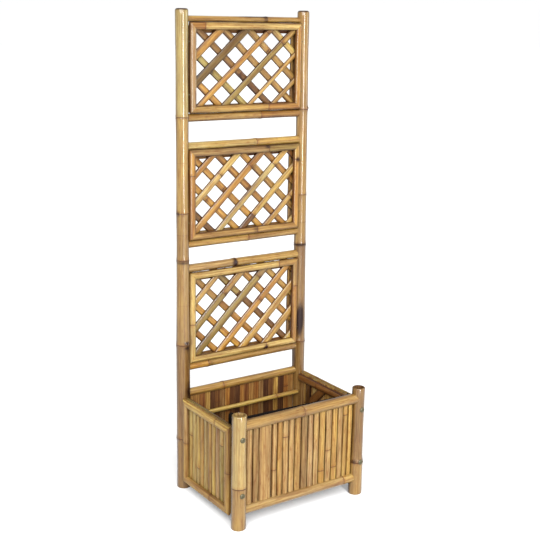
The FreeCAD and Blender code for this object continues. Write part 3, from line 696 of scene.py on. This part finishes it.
# lengths in mm and angles in degrees, as the function for a cane wants them
posts = {
    "post_back_left": dict(
        place=(-POST_X, POST_Y), length=1349.7, radius=17.5, foot=19.7, taper=(445, 700),
        low_end=100, high_end=0,
        knots=[(153, 1.4), (434, 1.1), (678, 0.9), (809, 0.8), (1068, 0.7)],
        # darker tones low down are painted shade, as less light reaches the foot
        tones=["brown", "brown", "tan", "tan", "honey", "pale"],
        buds=[(809, -160, 1.8), (437, -85, 3.2), (424, -80, 2.0), (153, -150, 1.5)],
        stains=[(292, -60, 34, 16, 0.95), (809, -160, 9, 7, 0.8), (440, -88, 6, 7, 1.4),
                (426, -84, 5, 7, 1.3), (672, TOWARDS_CAMERA, 6, 34, 0.7),
                (400, -60, 40, 12, 0.4), (1350, TOWARDS_CAMERA, 5, 60, 1.0)]),
    "post_back_right": dict(
        place=(POST_X + LEAN_FOOT, POST_Y), length=1349.7, radius=16.75, foot=19.3,
        taper=(390, 900), low_end=100, high_end=0,
        knots=[(120, 1.2), (379, 1.1), (680, 1.0), (829, 0.8), (1076, 1.2)],
        # darker tones low down are painted shade, as less light reaches the foot
        tones=["brown", "brown", "brown", "tan", "tan", "tan"],
        buds=[(1080, -40, 2.0)],
        stains=[(447, -117, 40, 9, 2.2), (462, -95, 30, 6, 0.6),
                (680, TOWARDS_CAMERA, 6, 30, 0.8), (330, -165, 50, 9, 0.7),
                (1082, -45, 6, 6, 0.9), (1350, TOWARDS_CAMERA, 5, 60, 1.0)]),
    "post_front_left": dict(
        place=(-POST_X, -POST_Y), length=324, radius=20, foot=20.4, taper=(130, 150),
        low_end=80, high_end=6.5, knots=[(119.5, 0.5)], tones=["tan", "cream"], buds=[],
        # the first stain is painted shade on the rim and inside of the open top
        stains=[(318, 170, 6, 9, 0.9), (119, TOWARDS_CAMERA, 3, 30, 0.4), (72, -120, 4, 5, 0.8)]),
    "post_front_right": dict(
        place=(POST_X, -POST_Y), length=323, radius=18.25, foot=19.8, taper=(104, 114),
        low_end=70, high_end=9.5, knots=[(98, 1.2)], tones=["tan", "brown"],
        # the first stain is painted shade on the rim and inside of the open top
        buds=[(105, -150, 1.6)], stains=[(316, -20, 8, 8, 0.95), (103, -150, 6, 9, 0.8)]),
}
for seed, (name, post) in enumerate(posts.items(), start=11):
    sizes = {key: value for key, value in post.items() if key != "place"}
    # each post's lit side, round from which the finish paints shade, faces the camera
    shape = cane(seed=seed, pale_side=TOWARDS_CAMERA, **sizes)
    # +X of the cane points up, its +Y to the planter's +X, so its angles are the planter's own
    lean, lift = (LEAN, LEAN_LIFT) if name == "post_back_right" else (0, 0)
    put(shape, (*post["place"], lift), (-math.sin(lean), 0, math.cos(lean)),
        (math.cos(lean), 0, math.sin(lean)))
    show(name, [shape], ("post", "inside", "sawn"))
print("faces in the posts:", {name: made[name] for name in posts})

# %% [markdown]
# ## Rails and the rod
# The rails are thinner canes whose ends sit in holes in the posts. Each has one joint, and the
# joints of no two rails line up, so the table gives every rail a joint of its own. The rod across
# the back wall is a still thinner cane, pinned in front of the two posts.

# %% Rails and the rod
TENON_GAP = 4
RAIL_START = TENON_GAP - POST_X
# height, radius, front or back, joint, ridge, tones
rails = {
    "trellis_rail_1": (1323.7, 8, 1, 64, 0.9, ["tan", "honey"]),
    "trellis_rail_2": (1066, 11, 1, 48, 0.9, ["tan", "amber"]),
    "trellis_rail_3": (990, 10.9, 1, 34, 1.3, ["cream", "honey"]),
    "trellis_rail_4": (720.3, 10.75, 1, 10, 0.8, ["honey", "tan"]),
    "trellis_rail_5": (651, 12, 1, -33, 1.4, ["buff", "honey"]),
    "trellis_rail_6": (365, 11.5, 1, -122, 0.9, ["golden", "tan"]),
    "box_back_rail": (286.5, 11.5, 1, -70, 1.0, ["tan", "tan"]),
    "back_bottom_rail": (50.5, 13.2, 1, -40, 1.0, ["tan", "honey"]),
    "front_top_rail": (291.3, 15.2, -1, 2, 1.1, ["tan", "tan"]),
    "front_bottom_rail": (50.5, 13.2, -1, 148, 0.8, ["buff", "honey"]),
}
# x, angle (180 degrees faces the front), length, width, strength
rail_stains = {
    "trellis_rail_1": [(60, 200, 9, 30, 0.6), (20, 110, 50, 5, 1.0)],
    "trellis_rail_3": [(26, 180, 5, 8, 0.5)],
    "trellis_rail_5": [(-34, 170, 8, 18, 1.0), (-60, 190, 30, 8, 0.4)],
    "trellis_rail_6": [(-112, 200, 10, 12, 0.55)],
    "front_top_rail": [(-90, 230, 60, 8, 0.3), (80, 200, 45, 7, 0.3)],
    "front_bottom_rail": [(-175, 160, 3, 3, 0.9)],
}
for seed, (name, rail) in enumerate(rails.items(), start=31):
    height, radius, side, joint, ridge, tones = rail
    # a rail at the back ends at the leaning post's middle, wherever that stands at its height
    right_post = POST_X + LEAN_FOOT - height * math.tan(LEAN) if side > 0 else POST_X
    stains = [(x - RAIL_START, *rest) for x, *rest in rail_stains.get(name, ())]
    shape = cane(right_post - TENON_GAP - RAIL_START, radius, [(joint - RAIL_START, ridge)], tones,
                 seed, 30, 30, stains)
    # +X along the rail and +Y to the back
    put(shape, (RAIL_START, POST_Y * side, height), (1, 0, 0), (0, 1, 0))
    show(name, [shape], RAIL_LOOKS)

ROD_START, ROD_RADIUS, ROD_Y, ROD_HEIGHT = -188, 6.75, 129.5, 221.8
rod = cane(-2 * ROD_START, ROD_RADIUS, [(108 - ROD_START, 0.9), (26, 0.6)],
           ["straw", "straw", "honey"], 47, 12, 12)
put(rod, (ROD_START, ROD_Y, ROD_HEIGHT), (1, 0, 0), (0, 1, 0))
show("inner_rod", [rod], RAIL_LOOKS)
print("rails and rod:", len(rails) + 1)

# %% [markdown]
# ## A split cane
# A strip is a slice of a cane's wall: flat and fibrous behind, crowned and glossy in front, with
# softened edges. It starts as a half-round outline of a few corners, which is pulled out into a
# bar. The bar is then sliced across many times, because a straight bar has no corners to move,
# and only then can the edges waver and the joints swell.

# %% Cuts across a piece


def everything(piece):
    return piece.verts[:] + piece.edges[:] + piece.faces[:]


def on_axis(axis, value):
    return Vector([value if count == axis else 0 for count in range(3)])


def cut_lines(piece, axis, places):
    """Add a loop of edges across the piece at each place on one axis."""
    for place in places:
        bmesh.ops.bisect_plane(piece, geom=everything(piece), plane_co=on_axis(axis, place),
                               plane_no=on_axis(axis, 1))


def slice_off(piece, point, direction):
    """Cut away what lies past a point in mm, on the side that direction points to, and shut the
    cut."""
    bmesh.ops.bisect_plane(piece, geom=everything(piece), plane_co=Vector(point) * MM,
                           plane_no=direction, clear_outer=True)
    open_edges = [edge for edge in piece.edges if edge.is_boundary]
    known = set(piece.faces)
    bmesh.ops.holes_fill(piece, edges=open_edges, sides=0)
    for face in piece.faces:
        if face not in known:
            face.material_index = ENDS


def trim(piece, axis, low, high):
    """Cut a piece in its place off below low and above high on one axis."""
    slice_off(piece, on_axis(axis, low), on_axis(axis, -1))
    slice_off(piece, on_axis(axis, high), on_axis(axis, 1))


print("the plane of a cut across X:", tuple(on_axis(0, 1)))

# %% The section of a strip
CROWN_STEPS = 8


def strip_outline(width, thickness, edge):
    """The corners of a strip's section, flat behind and crowned in front, in mm."""
    corners = [(0.5, 0), (0, 0.6), (0, edge * 0.8)]
    for count in range(CROWN_STEPS + 1):
        turn = math.pi * (1 - count / CROWN_STEPS)
        across = width / 2 * (1 + math.cos(turn) * 0.985)
        corners.append((across, edge + (thickness - edge) * math.sin(turn) ** 0.8))
    return corners + [(width, edge * 0.8), (width, 0.6), (width - 0.5, 0)]


print("corners in a strip's section:", len(strip_outline(20, 9.5, 4.5)))

# %% A split cane
STRIP_STEP = 24
# rings of corners round a joint, in mm from it
JOINT_ROWS = (-9, -4, -1.4, -0.3, 0.6, 2.2, 5, 9)
STAIN_DEPTH = 20


def split_cane(length, width, thickness, edge, knots, tones, seed, waver=0.35, stains=()):
    """A strip along +X, flat on z = 0 and crowned upwards, all in mm. A stain is (place, share of
    the width, length, width, strength)."""
    piece = bmesh.new()
    outline = strip_outline(width, thickness, edge)
    end = piece.faces.new([piece.verts.new((0, across, up)) for across, up in outline])
    pulled = bmesh.ops.extrude_face_region(piece, geom=[end])["geom"]
    bmesh.ops.translate(piece, vec=(length, 0, 0),
                        verts=[part for part in pulled if isinstance(part, bmesh.types.BMVert)])
    rows = [STRIP_STEP * (count + 0.5) for count in range(int(length / STRIP_STEP))]
    rows = [row for row in rows if all(abs(row - knot) > JOINT_ROWS[-1] for knot, _ in knots)]
    rows += [knot + gap for knot, _ in knots for gap in JOINT_ROWS]
    cut_lines(piece, 0, [row for row in sorted(rows) if 1 < row < length - 1])
    for face in piece.faces:
        if abs(face.normal.x) > 0.8:
            face.material_index = ENDS
        elif face.calc_center_median().z < 0.7:
            face.material_index = INNER
    for vertex in piece.verts:
        along, across, up = vertex.co
        swell = sum(height * ridge_share(along - knot) for knot, height in knots)
        side = 1 if across > width / 2 else -1
        drift = noise.noise(Vector((along * 0.014, seed * 3.7 + side, 0)))
        reach = abs(across / width - 0.5) * 2
        vertex.co.y += side * reach * (drift * waver - waver * 0.5 + swell * 0.3)
        if up > edge:
            lift = noise.noise(Vector((along * 0.01, seed * 1.3, 4))) * 0.25 - 0.25
            vertex.co.z += swell * 0.6 + lift
    bmesh.ops.scale(piece, vec=(MM, MM, MM), verts=piece.verts)
    spots = [((place * MM, width * share * MM, thickness * MM),
              (long * MM, wide * MM, STAIN_DEPTH * MM), strength)
             for place, share, long, wide, strength in stains]
    mark(piece, tones, [knot * MM for knot, _ in knots], spots, random.Random(seed),
         lambda place: (place.y / (width * MM) * 2 - 1) ** 2)
    return piece


test_strip = split_cane(200, 20, 9.5, 4.5, [(80, 1)], ["tan"], 1)
print("a short strip has", len(test_strip.faces), "faces")
test_strip.free()

# %% [markdown]
# ## Mitred frames
# Each panel's frame is four strips whose ends meet at 45 degrees, like a picture frame. A strip
# is made square, as long as the frame's side, then two slanting cuts give the mitres. The cuts
# take a hair more, so that the joints show as the fine dark lines one sees at the corners.

# %% Mitred frames
MITRE_GAP = 0.25


def mitred_strip(length, width, thickness, edge, knots, tones, seed, stains=()):
    # a little dirt gathers in the joints
    stains = [*stains, (4, 0.5, 5, 20, 0.25), (length - 4, 0.5, 5, 20, 0.25)]
    piece = split_cane(length, width, thickness, edge, knots, tones, seed, 0.25, stains)
    slope = math.sqrt(0.5)
    slice_off(piece, (MITRE_GAP, 0, 0), (-slope, slope, 0))
    slice_off(piece, (length - MITRE_GAP, 0, 0), (slope, slope, 0))
    return piece


def mitred_frame(origin, along, width, height, section, strips, seed):
    """Four strips round an outline: bottom, far side, top, near side. strips holds
    (knots, tones, stains) for each."""
    across, up = Vector(along), Vector((0, 0, 1))
    corner = Vector(origin)
    corners = [corner, corner + across * width, corner + across * width + up * height,
               corner + up * height]
    directions = [(across, up), (up, -across), (-across, -up), (-up, across)]
    made_strips = []
    for count, (knots, tones, stains) in enumerate(strips):
        length = width if count % 2 == 0 else height
        piece = mitred_strip(length, *section, knots, tones, seed + count, stains)
        made_strips.append(put(piece, corners[count], *directions[count]))
    return made_strips


PANEL_PLANE, FRAME_SECTION = 141, (20, 9.5, 4.5)
LATTICE_FRONT, LATTICE_REAR = 7.5, 6.5
BACK_PLANE = PANEL_PLANE + LATTICE_FRONT + LATTICE_REAR
# left, right, low and high edge
panels = {1: (-182, 178.5, 1078, 1316), 2: (-185, 180, 731.5, 981), 3: (-185, 183.5, 377, 640.5)}
BACK_INSET_LEFT, BACK_INSET_RIGHT, BACK_LIFT, BACK_DROP = 7, 3, 1, 10
# joints and tones of the bottom, right, top and left strips, each strip measured from its own start
panel_strips = {
    1: [([(250, 0.5)], ["honey", "amber"], []), ([], ["golden"], []),
        ([(314, 0.5)], ["cream", "amber"], [(60, 0.5, 40, 20, 0.25)]), ([], ["pink"], [])],
    2: [([(221, 0.7)], ["tan", "tan"], [(215, 0.6, 10, 10, 0.6)]),
        ([(203, 1.2)], ["golden", "honey"], [(203, 0.4, 9, 9, 0.9)]),
        ([(107, 0.8)], ["olive", "grey"], [(112, 0.2, 8, 6, 0.9)]),
        ([(71, 0.7)], ["golden", "amber"], [])],
    3: [([(257, 1.3)], ["cream", "cream"], [(259, 0.35, 7, 6, 1.0), (252, 0.2, 6, 5, 0.8)]),
        ([(180, 0.5)], ["amber", "tan"], []),
        ([(70, 0.8)], ["tan", "cream"], []), ([(150, 0.5)], ["cream", "cream"], [])],
}
# the frame behind faces backwards, and only its sawn inner face shows through the lattice
behind_strips = [([(120, 0.6)], ["amber", "tan"], []), ([(90, 0.6)], ["tan", "pink"], []),
                 ([(200, 0.6)], ["amber", "russet"], []), ([(140, 0.6)], ["tan", "pink"], [])]
for number, (left, right, low, high) in panels.items():
    strips = mitred_frame((left, PANEL_PLANE, low), (1, 0, 0), right - left, high - low,
                          FRAME_SECTION, panel_strips[number], 100 + number * 10)
    for piece, part in zip(strips, ("bottom", "right", "top", "left")):
        show("panel_%d_frame_%s" % (number, part), [piece], STRIP_LOOKS)
    behind_left, behind_right = left + BACK_INSET_LEFT, right - BACK_INSET_RIGHT
    behind = mitred_frame((behind_right, BACK_PLANE, low + BACK_LIFT), (-1, 0, 0),
                          behind_right - behind_left, high - low - BACK_DROP, FRAME_SECTION,
                          behind_strips, 200 + number * 10)
    show("panel_%d_back_frame" % number, behind, STRIP_LOOKS)
print("frames of", len(panels), "panels")

# %% [markdown]
# ## Lattice
# Two layers of strips cross behind each frame: the front layer leans to the right, the rear one
# to the left. Every strip is cut overlong, put in place on its slant, and trimmed to the panel's
# outline with four cuts. The frame's own strips hide the trimmed ends.

# %% Lattice
LATTICE_EDGE, LATTICE_PITCH, LATTICE_INSET, LATTICE_TRIM = 3.5, 80, 7.5, 2
LATTICE_BLANK, REAR_WIDTH = 560, 20
lattice_angle = {1: 41.5, 2: 43.5, 3: 44.1}
# where the first strip crosses the height given, the first strip's count, and a tone per strip;
# a strip of two tones has its joint between them, at a place along the strip
lattice_front = {
    1: (-58, 1247, -1, ["golden", "moss", "golden", ("olive", 300, "honey"), "honey", "tan"]),
    2: (-79, 910, -1, ["amber", "cream", ("golden", 300, "amber"), ("pale", 300, "honey"),
                       ("umber", 96, "straw"), "honey", "straw"]),
    3: (-68, 565, -2, ["straw", "tan", ("olive", 280, "tan"), ("olive", 330, "grey"), "golden",
                       ("honey", 300, "tan"), "honey", "straw"]),
}
lattice_rear = {
    1: (-92, 1247, -3, ["golden", "golden", "sage", ("brown", 380, "umber"), "tan", "tan",
                        "cream"]),
    2: (-113, 909, -2, ["umber", "golden", "golden", "amber", ("golden", 250, "tan"),
                        "amber", "russet"]),
    3: (-104, 565, -2, ["amber", "golden", ("tan", 300, "amber"), ("olive", 290, "umber"),
                        "golden", "tan", "amber"]),
}
front_widths = {
    1: (23, 23, 17, 19, 13, 14), 2: (18, 21, 22, 18.5, 19.5, 19, 17),
    3: (20, 19.5, 23.5, 24.5, 22, 24.5, 24, 22),
}


def lattice_strip(centre, degrees, crown_plane, section, window, tone, seed):
    """One slanting strip, crowned to the front and trimmed to a window (left, right, low, high)."""
    chance = random.Random(seed)
    width, thickness = section
    if isinstance(tone, str):
        tone = (tone, chance.uniform(150, 400), tone)
    first, joint, second = tone
    piece = split_cane(LATTICE_BLANK, width, thickness, LATTICE_EDGE, [(joint, 0.9)],
                       [first, second], seed, 0.9, [(joint + 3, 0.3, 8, 7, 0.6)])
    slant = math.radians(degrees)
    along = Vector((math.cos(slant), 0, math.sin(slant)))
    across = Vector((-math.sin(slant), 0, math.cos(slant)))
    corner = (Vector((centre[0], crown_plane, centre[1])) - along * (LATTICE_BLANK / 2)
              - across * (width / 2))
    put(piece, corner, along, across)
    trim(piece, 0, *window[:2])
    trim(piece, 2, *window[2:])
    return piece


for number, (left, right, low, high) in panels.items():
    window = (left + LATTICE_INSET, right - LATTICE_INSET, low + LATTICE_TRIM, high - LATTICE_TRIM)
    for layer, table, plane, thickness, lean in (
            ("front", lattice_front, PANEL_PLANE + LATTICE_FRONT, LATTICE_FRONT, 1),
            ("rear", lattice_rear, BACK_PLANE, LATTICE_REAR, -1)):
        start, height, first, tones = table[number]
        strips = []
        for count, tone in enumerate(tones):
            width = front_widths[number][count] if layer == "front" else REAR_WIDTH
            strips.append(lattice_strip((start + LATTICE_PITCH * (first + count), height),
                                        lattice_angle[number] * lean, plane, (width, thickness),
                                        window, tone, 300 + number * 40 + lean * 20 + count))
        show("panel_%d_lattice_%s" % (number, layer), strips, STRIP_LOOKS)
lattice_rows = [*lattice_front.values(), *lattice_rear.values()]
print("lattice strips:", sum(len(row[3]) for row in lattice_rows))

# %% [markdown]
# ## Side panels
# A side panel is a sandwich: a mitred frame outside, a row of upright slats, and a lighter frame
# with a slanting brace inside. The inner frames and braces are given mostly dark tones as painted
# shade inside the box, and the right one shows its inside.

# %% Side panels
SIDE_FRONT, SIDE_REAR, SIDE_LOW, SIDE_HIGH = -119, 128.8, 26, 279.5
OUTER_PLANE, SIDE_SLAT_THICKNESS = 206, 8.5
INNER_PLANE = OUTER_PLANE - SIDE_SLAT_THICKNESS
SIDE_DEPTH = SIDE_REAR - SIDE_FRONT
SIDE_SECTION, INNER_SECTION = (22, 9.5, 4.5), (22, 9, 4.5)
SLATS_PER_SIDE, SLAT_GAP, SLAT_INSET, SLAT_EDGE = 12, 1.2, 3.5, 5
# the inner stiles take dark tones: painted shade inside the box
STILES = ((92, "dark"), (-58, "umber"))
BRACE_LENGTH, BRACE_WIDTH, BRACE_THICKNESS, BRACE_EDGE = 200, 28, 7, 3.5
BRACE_TOP, BRACE_OVERRUN, BRACE_FRONT, BRACE_REAR = 16, 40, -60, 70
# the inner frame of the left panel stands nearly as high as the outer one
INNER_DROP = {"left": 1, "right": 7}
side_tones = ["buff", "pale", "tan", "cream", "buff", "honey", "sage", "cream", "pink", "straw"]
for side, hand in ((-1, "left"), (1, "right")):
    lift = 6 if side > 0 else 0
    low, high = SIDE_LOW + lift, SIDE_HIGH + lift
    chance = random.Random(60 + side)
    frame_start = SIDE_FRONT if side > 0 else SIDE_REAR
    slat_start = SIDE_REAR if side > 0 else SIDE_FRONT
    looks = [([(150, 0.7)], ["honey", "tan"], []), ([(120, 0.7)], ["honey", "tan"], []),
             ([(70, 0.7)], ["straw", "straw"], []), ([(130, 0.7)], ["buff", "honey"], [])]
    outer = mitred_frame((OUTER_PLANE * side, frame_start, low), (0, side, 0), SIDE_DEPTH,
                         high - low, SIDE_SECTION, looks, 400 + side * 10)
    parts = ("bottom", "rear", "top", "front") if side > 0 else ("bottom", "front", "top", "rear")
    for piece, part in zip(outer, parts):
        show("side_%s_frame_%s" % (hand, part), [piece],
             ("slat", "inside", "sawn"))
    pitch = SIDE_DEPTH / SLATS_PER_SIDE
    row = []
    for count in range(SLATS_PER_SIDE):
        knots = [(chance.uniform(30, 210), 0.6)] if chance.random() < 0.5 else []
        slat = split_cane(high - low - SLAT_INSET * 2, pitch - SLAT_GAP, SIDE_SLAT_THICKNESS,
                          SLAT_EDGE, knots, [chance.choice(side_tones), chance.choice(side_tones)],
                          420 + side * 20 + count, 0.8)
        near = slat_start - (pitch * count + SLAT_GAP / 2) * side
        row.append(put(slat, (INNER_PLANE * side, near, low + SLAT_INSET), (0, 0, 1),
                       (0, -side, 0)))
    show("side_%s_slats" % hand, row, SLAT_LOOKS)

    width, drop = INNER_SECTION[0], INNER_DROP[hand]
    strips = []
    # the right inner top crossbar and both bottom crossbars are dark as painted shade inside the
    # box
    top_tone = "sage" if side < 0 else "russet"
    crossbars = ((high - drop - width, top_tone), (low + drop, "umber"))
    for seed, (strip_low, tone) in enumerate(crossbars):
        bar = split_cane(SIDE_DEPTH, *INNER_SECTION, [(90, 0.6)], [tone, tone], 460 + seed + side)
        strips.append(put(bar, (INNER_PLANE * side, slat_start, strip_low), (0, -side, 0),
                          (0, 0, 1)))
    stile_low, stile_high = low + drop + width, high - drop - width
    for seed, (rear_edge, tone) in enumerate(STILES):
        bar = split_cane(stile_high - stile_low, *INNER_SECTION, [], [tone], 470 + seed + side)
        near = rear_edge - width if side > 0 else rear_edge
        strips.append(put(bar, (INNER_PLANE * side, near, stile_low), (0, 0, 1), (0, side, 0)))
    show("side_%s_inner_frame" % hand, strips, STRIP_LOOKS)

    slope = math.sqrt(0.5)
    half_across = BRACE_WIDTH / 2 * slope * side
    # the brace's dark tone is painted shade inside the box
    brace = split_cane(BRACE_LENGTH, BRACE_WIDTH, BRACE_THICKNESS, BRACE_EDGE, [], ["russet"],
                       480 + side)
    put(brace, (INNER_PLANE * side, BRACE_TOP - BRACE_OVERRUN + half_across,
                stile_high + BRACE_OVERRUN + half_across),
        (0, slope, -slope), (0, -slope * side, -slope * side))
    trim(brace, 1, BRACE_FRONT, BRACE_REAR)
    trim(brace, 2, stile_low, stile_high)
    show("side_%s_brace" % hand, [brace], STRIP_LOOKS)
print("side panels: 2, slats in each:", SLATS_PER_SIDE)

# %% [markdown]
# ## Front and back walls
# The wall slats are the roughest strips. Their edges waver, so dark gaps open between some of
# them, and neighbours differ in width. Their ends hide in grooves in the rails.

# %% Front and back walls
SLAT_THICKNESS, SLAT_LOW = 8, 57.2
front_edges = (-177.5, -157, -137, -95, -78, -60, -40, -20.5, 1.5, 24, 43, 62.5, 85, 107, 127, 145,
               163, 178.6)
front_tones = ["buff", "grey", "buff", "buff", "tan", "buff", "buff", "tan", "grey", "pink",
               "buff", "honey", "buff", "honey", "buff", "honey", "honey"]
back_edges = (-178.5, -168, -148, -129, -112, -97, -78, -61, -45, -28, -10, 4, 20, 40, 56, 73, 91,
              110, 126, 147, 164, 182)
back_tones = ["tan", "tan", "russet", "straw", "dark", "umber", "grey", "golden", "umber", "dark",
              "amber", "russet", "tan", "amber", "grey", "dark", "umber", "straw", "dark", "amber",
              "tan"]


def wall(name, edges, tones, side, high, seed, waver, gap):
    """Upright strips side by side; side is -1 for the front wall, which is crowned forwards."""
    slats = []
    for count, (start, end) in enumerate(zip(edges, edges[1:])):
        chance = random.Random(seed + count)
        knots = [(chance.uniform(20, 200), 0.5)] if chance.random() < 0.35 else []
        slat = split_cane(high - SLAT_LOW, end - start - gap, SLAT_THICKNESS, SLAT_EDGE, knots,
                          [tones[count]], seed + count, waver)
        near = start + gap / 2 if side > 0 else end - gap / 2
        back = (POST_Y - SLAT_THICKNESS / 2) * side
        slats.append(put(slat, (near, back, SLAT_LOW), (0, 0, 1), (side, 0, 0)))
    show(name, slats, SLAT_LOOKS)


wall("front_slats", front_edges, front_tones, -1, 282.6, 500, 1.6, SLAT_GAP)
wall("back_slats", back_edges, back_tones, 1, 281.5, 540, 0.2, 0.3)
print("wall slats:", len(front_tones) + len(back_tones))

# %% [markdown]
# ## Floor of the box
# Ten strips lie across three thin canes. Nobody sees them from the front, but they show from
# below, so they get the same bamboo.

# %% Floor of the box
BEARERS, BEARER_PITCH, BEARER_REACH, BEARER_RADIUS, BEARER_HEIGHT = 3, 120, 143.8, 8, 50.5
BOARDS, BOARD_PITCH, BOARD_FIRST, BOARD_HALF, BOARD_SECTION = 10, 24.5, -131, 183, (20, 6, 3)
bearers = []
for count in range(BEARERS):
    bearer = cane(BEARER_REACH * 2, BEARER_RADIUS, [], ["tan"], 600 + count, 20, 20)
    place = (BEARER_PITCH * (count - 1), -BEARER_REACH, BEARER_HEIGHT)
    bearers.append(put(bearer, place, (0, 1, 0), (0, 0, 1)))
show("floor_bearers", bearers, RAIL_LOOKS)
boards = []
for count in range(BOARDS):
    board = split_cane(BOARD_HALF * 2, *BOARD_SECTION, [(60 + 27 * count, 0.5)], ["tan", "honey"],
                       610 + count, 0.6)
    place = (-BOARD_HALF, BOARD_FIRST + BOARD_PITCH * count, BEARER_HEIGHT + BEARER_RADIUS)
    boards.append(put(board, place, (1, 0, 0), (0, 1, 0)))
show("floor_slats", boards, SLAT_LOOKS)
print("floor strips:", len(boards), "on", len(bearers), "bearers")

# %% [markdown]
# ## Planting liner
# A thin black plastic sheet lines the box. Its rim stands just above the front rail and falls a
# little to the right, a flap with a rounded corner stands at the left front corner, and the rest
# is cut low. It starts as an open block with rounded upright edges, the low parts are cut out face
# by face, and a Solidify modifier gives the sheet its thickness.

# %% Planting liner
LINER_HALF, LINER_FRONT, LINER_BACK = 0.186, -0.1325, 0.122
LINER_FLOOR, LINER_LOW, LINER_TOP, LINER_FALL = 0.0645, 0.15, 0.308, math.radians(1.386)
FLAP_END, FLAP_CORNER, RIGHT_END = -0.073, 0.02, -0.118

liner = bmesh.new()
bmesh.ops.create_cube(liner, size=1)
bmesh.ops.scale(liner, vec=(LINER_HALF * 2, LINER_BACK - LINER_FRONT, LINER_TOP - LINER_FLOOR),
                verts=liner.verts)
bmesh.ops.translate(liner, vec=(0, (LINER_BACK + LINER_FRONT) / 2, (LINER_TOP + LINER_FLOOR) / 2),
                    verts=liner.verts)
upright = [edge for edge in liner.edges
           if abs(edge.verts[0].co.z - edge.verts[1].co.z) > 0.1]
bmesh.ops.bevel(liner, geom=upright, offset=0.016, offset_type="OFFSET", segments=6, profile=0.5,
                affect="EDGES", material=-1)
bmesh.ops.delete(liner, geom=[face for face in liner.faces if face.calc_center_median().z > 0.3],
                 context="FACES")
cut_lines(liner, 2, [0.1, LINER_LOW, 0.19, 0.23, 0.26, LINER_TOP - FLAP_CORNER])
cut_lines(liner, 1, [RIGHT_END, FLAP_END - FLAP_CORNER, FLAP_END, -0.01, 0.06])
cut_lines(liner, 0, [-0.144, -0.096, -0.048, 0.0, 0.048, 0.096, 0.144])


def drop_faces(piece, unwanted):
    """Delete the faces whose middle is unwanted."""
    gone = [face for face in piece.faces if unwanted(face.calc_center_median())]
    bmesh.ops.delete(piece, geom=gone, context="FACES")


def is_low_part(place):
    beside = place.y > FLAP_END or (place.x > 0 and place.y > RIGHT_END)
    return beside and place.z > LINER_LOW


drop_faces(liner, is_low_part)
# three slanting cuts round the flap's corner
corner_middle = Vector((0, FLAP_END - FLAP_CORNER, LINER_TOP - FLAP_CORNER))
for degrees in (22.5, 45, 67.5):
    turn = math.radians(degrees)
    outward = Vector((0, math.cos(turn), math.sin(turn)))
    faces = []
    for face in liner.faces:
        middle = face.calc_center_median()
        if middle.x < -0.1 and middle.y > corner_middle.y and middle.z > corner_middle.z:
            faces.append(face)
    edges = {edge for face in faces for edge in face.edges}
    verts = {vert for face in faces for vert in face.verts}
    bmesh.ops.bisect_plane(liner, geom=list(verts) + list(edges) + faces,
                           plane_co=corner_middle + outward * FLAP_CORNER, plane_no=outward)
    drop_faces(liner, lambda place: place.x < -0.1 and place.y > corner_middle.y
               and (place - corner_middle).dot(outward) > FLAP_CORNER)
for vertex in liner.verts:
    rim = LINER_TOP - (vertex.co.x + LINER_HALF) * math.tan(LINER_FALL)
    vertex.co.z = min(vertex.co.z, rim)
for vertex in liner.verts:
    if vertex.co.z > 0.07:
        wave = noise.noise(vertex.co * 14) * 0.0016
        vertex.co.x -= math.copysign(abs(wave), vertex.co.x) if abs(vertex.co.x) > 0.17 else 0
        vertex.co.y -= math.copysign(abs(wave), vertex.co.y) if abs(vertex.co.y) > 0.1 else 0
liner_thing = show("liner", [liner], ["liner"], "sheet")
thickness = liner_thing.modifiers.new("sheet", "SOLIDIFY")
thickness.thickness = 0.0012
thickness.offset = -1
print("liner faces before its thickness:", made["liner"])

# %% [markdown]
# ## Screws, dowels and nails
# The screws hold the side panels between the posts. A screw is a lathe job too. Its cross slot is
# made on the ring of corners round the middle of the head, by drawing some of them in.

# %% Screws
SCREW_X, SCREW_LEVELS, SCREW_TIP = 200, (260, 101), 99
HEAD_RADIUS, HEAD_HEIGHT, SHANK_RADIUS, POINT_LENGTH = 7.5, 2.6, 2.2, 6


def screw(reach):
    """A screw along +X with its seat at x = 0 and the head on the -X side, in mm."""
    piece = lathe([(0, -0.9), (1.1, -0.9), (2.6, -HEAD_HEIGHT), (4.1, -HEAD_HEIGHT), (6.0, -2.0),
                   (7.1, -1.1), (HEAD_RADIUS, -0.3), (HEAD_RADIUS, 0.8), (SHANK_RADIUS, 0.8),
                   (SHANK_RADIUS, reach - POINT_LENGTH), (0, reach)], 32)
    for vertex in piece.verts:
        distance = math.hypot(vertex.co.y, vertex.co.z)
        if 0.5 < distance < 2.7 and vertex.co.x < 0:
            turn = math.atan2(vertex.co.z, vertex.co.y)
            pinch = 0.4 + 0.75 * abs(math.cos(2 * turn)) ** 2
            vertex.co.y *= pinch
            vertex.co.z *= pinch
    bmesh.ops.scale(piece, vec=(MM, MM, MM), verts=piece.verts)
    return piece


screws = []
for post in posts.values():
    x, y = post["place"]
    inward = -1 if y > 0 else 1
    for level in SCREW_LEVELS:
        thick = post["foot"] if level < post["taper"][0] else post["radius"]
        seat = y - thick * inward
        place = (math.copysign(SCREW_X, x), seat, level)
        screws.append(put(screw(abs(seat) - SCREW_TIP), place, (0, inward, 0), (1, 0, 0)))
show("side_panel_screws", screws, ["screw"], "zinc")
# the hidden dowels and nails keep their CAD shape
for node, look in (("rail_pins", "dowel"), ("panel_nails", "screw")):
    thing = frame["nodes"][node]
    thing.data.materials.clear()
    thing.data.materials.append(finishes[look])
print("screws:", len(screws))

# %% [markdown]
# ## Last checks
# The dressed planter has to stay as large as its construction. This cell counts the nodes that
# have a piece of their own and the faces in the new pieces.

# %% Last checks
hidden = {node for thing in bpy.data.objects for node in thing.get("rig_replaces", [])}
print("nodes with a piece of their own:", len(hidden), "of", len(frame["nodes"]))
print("faces in the new pieces:", sum(made.values()))
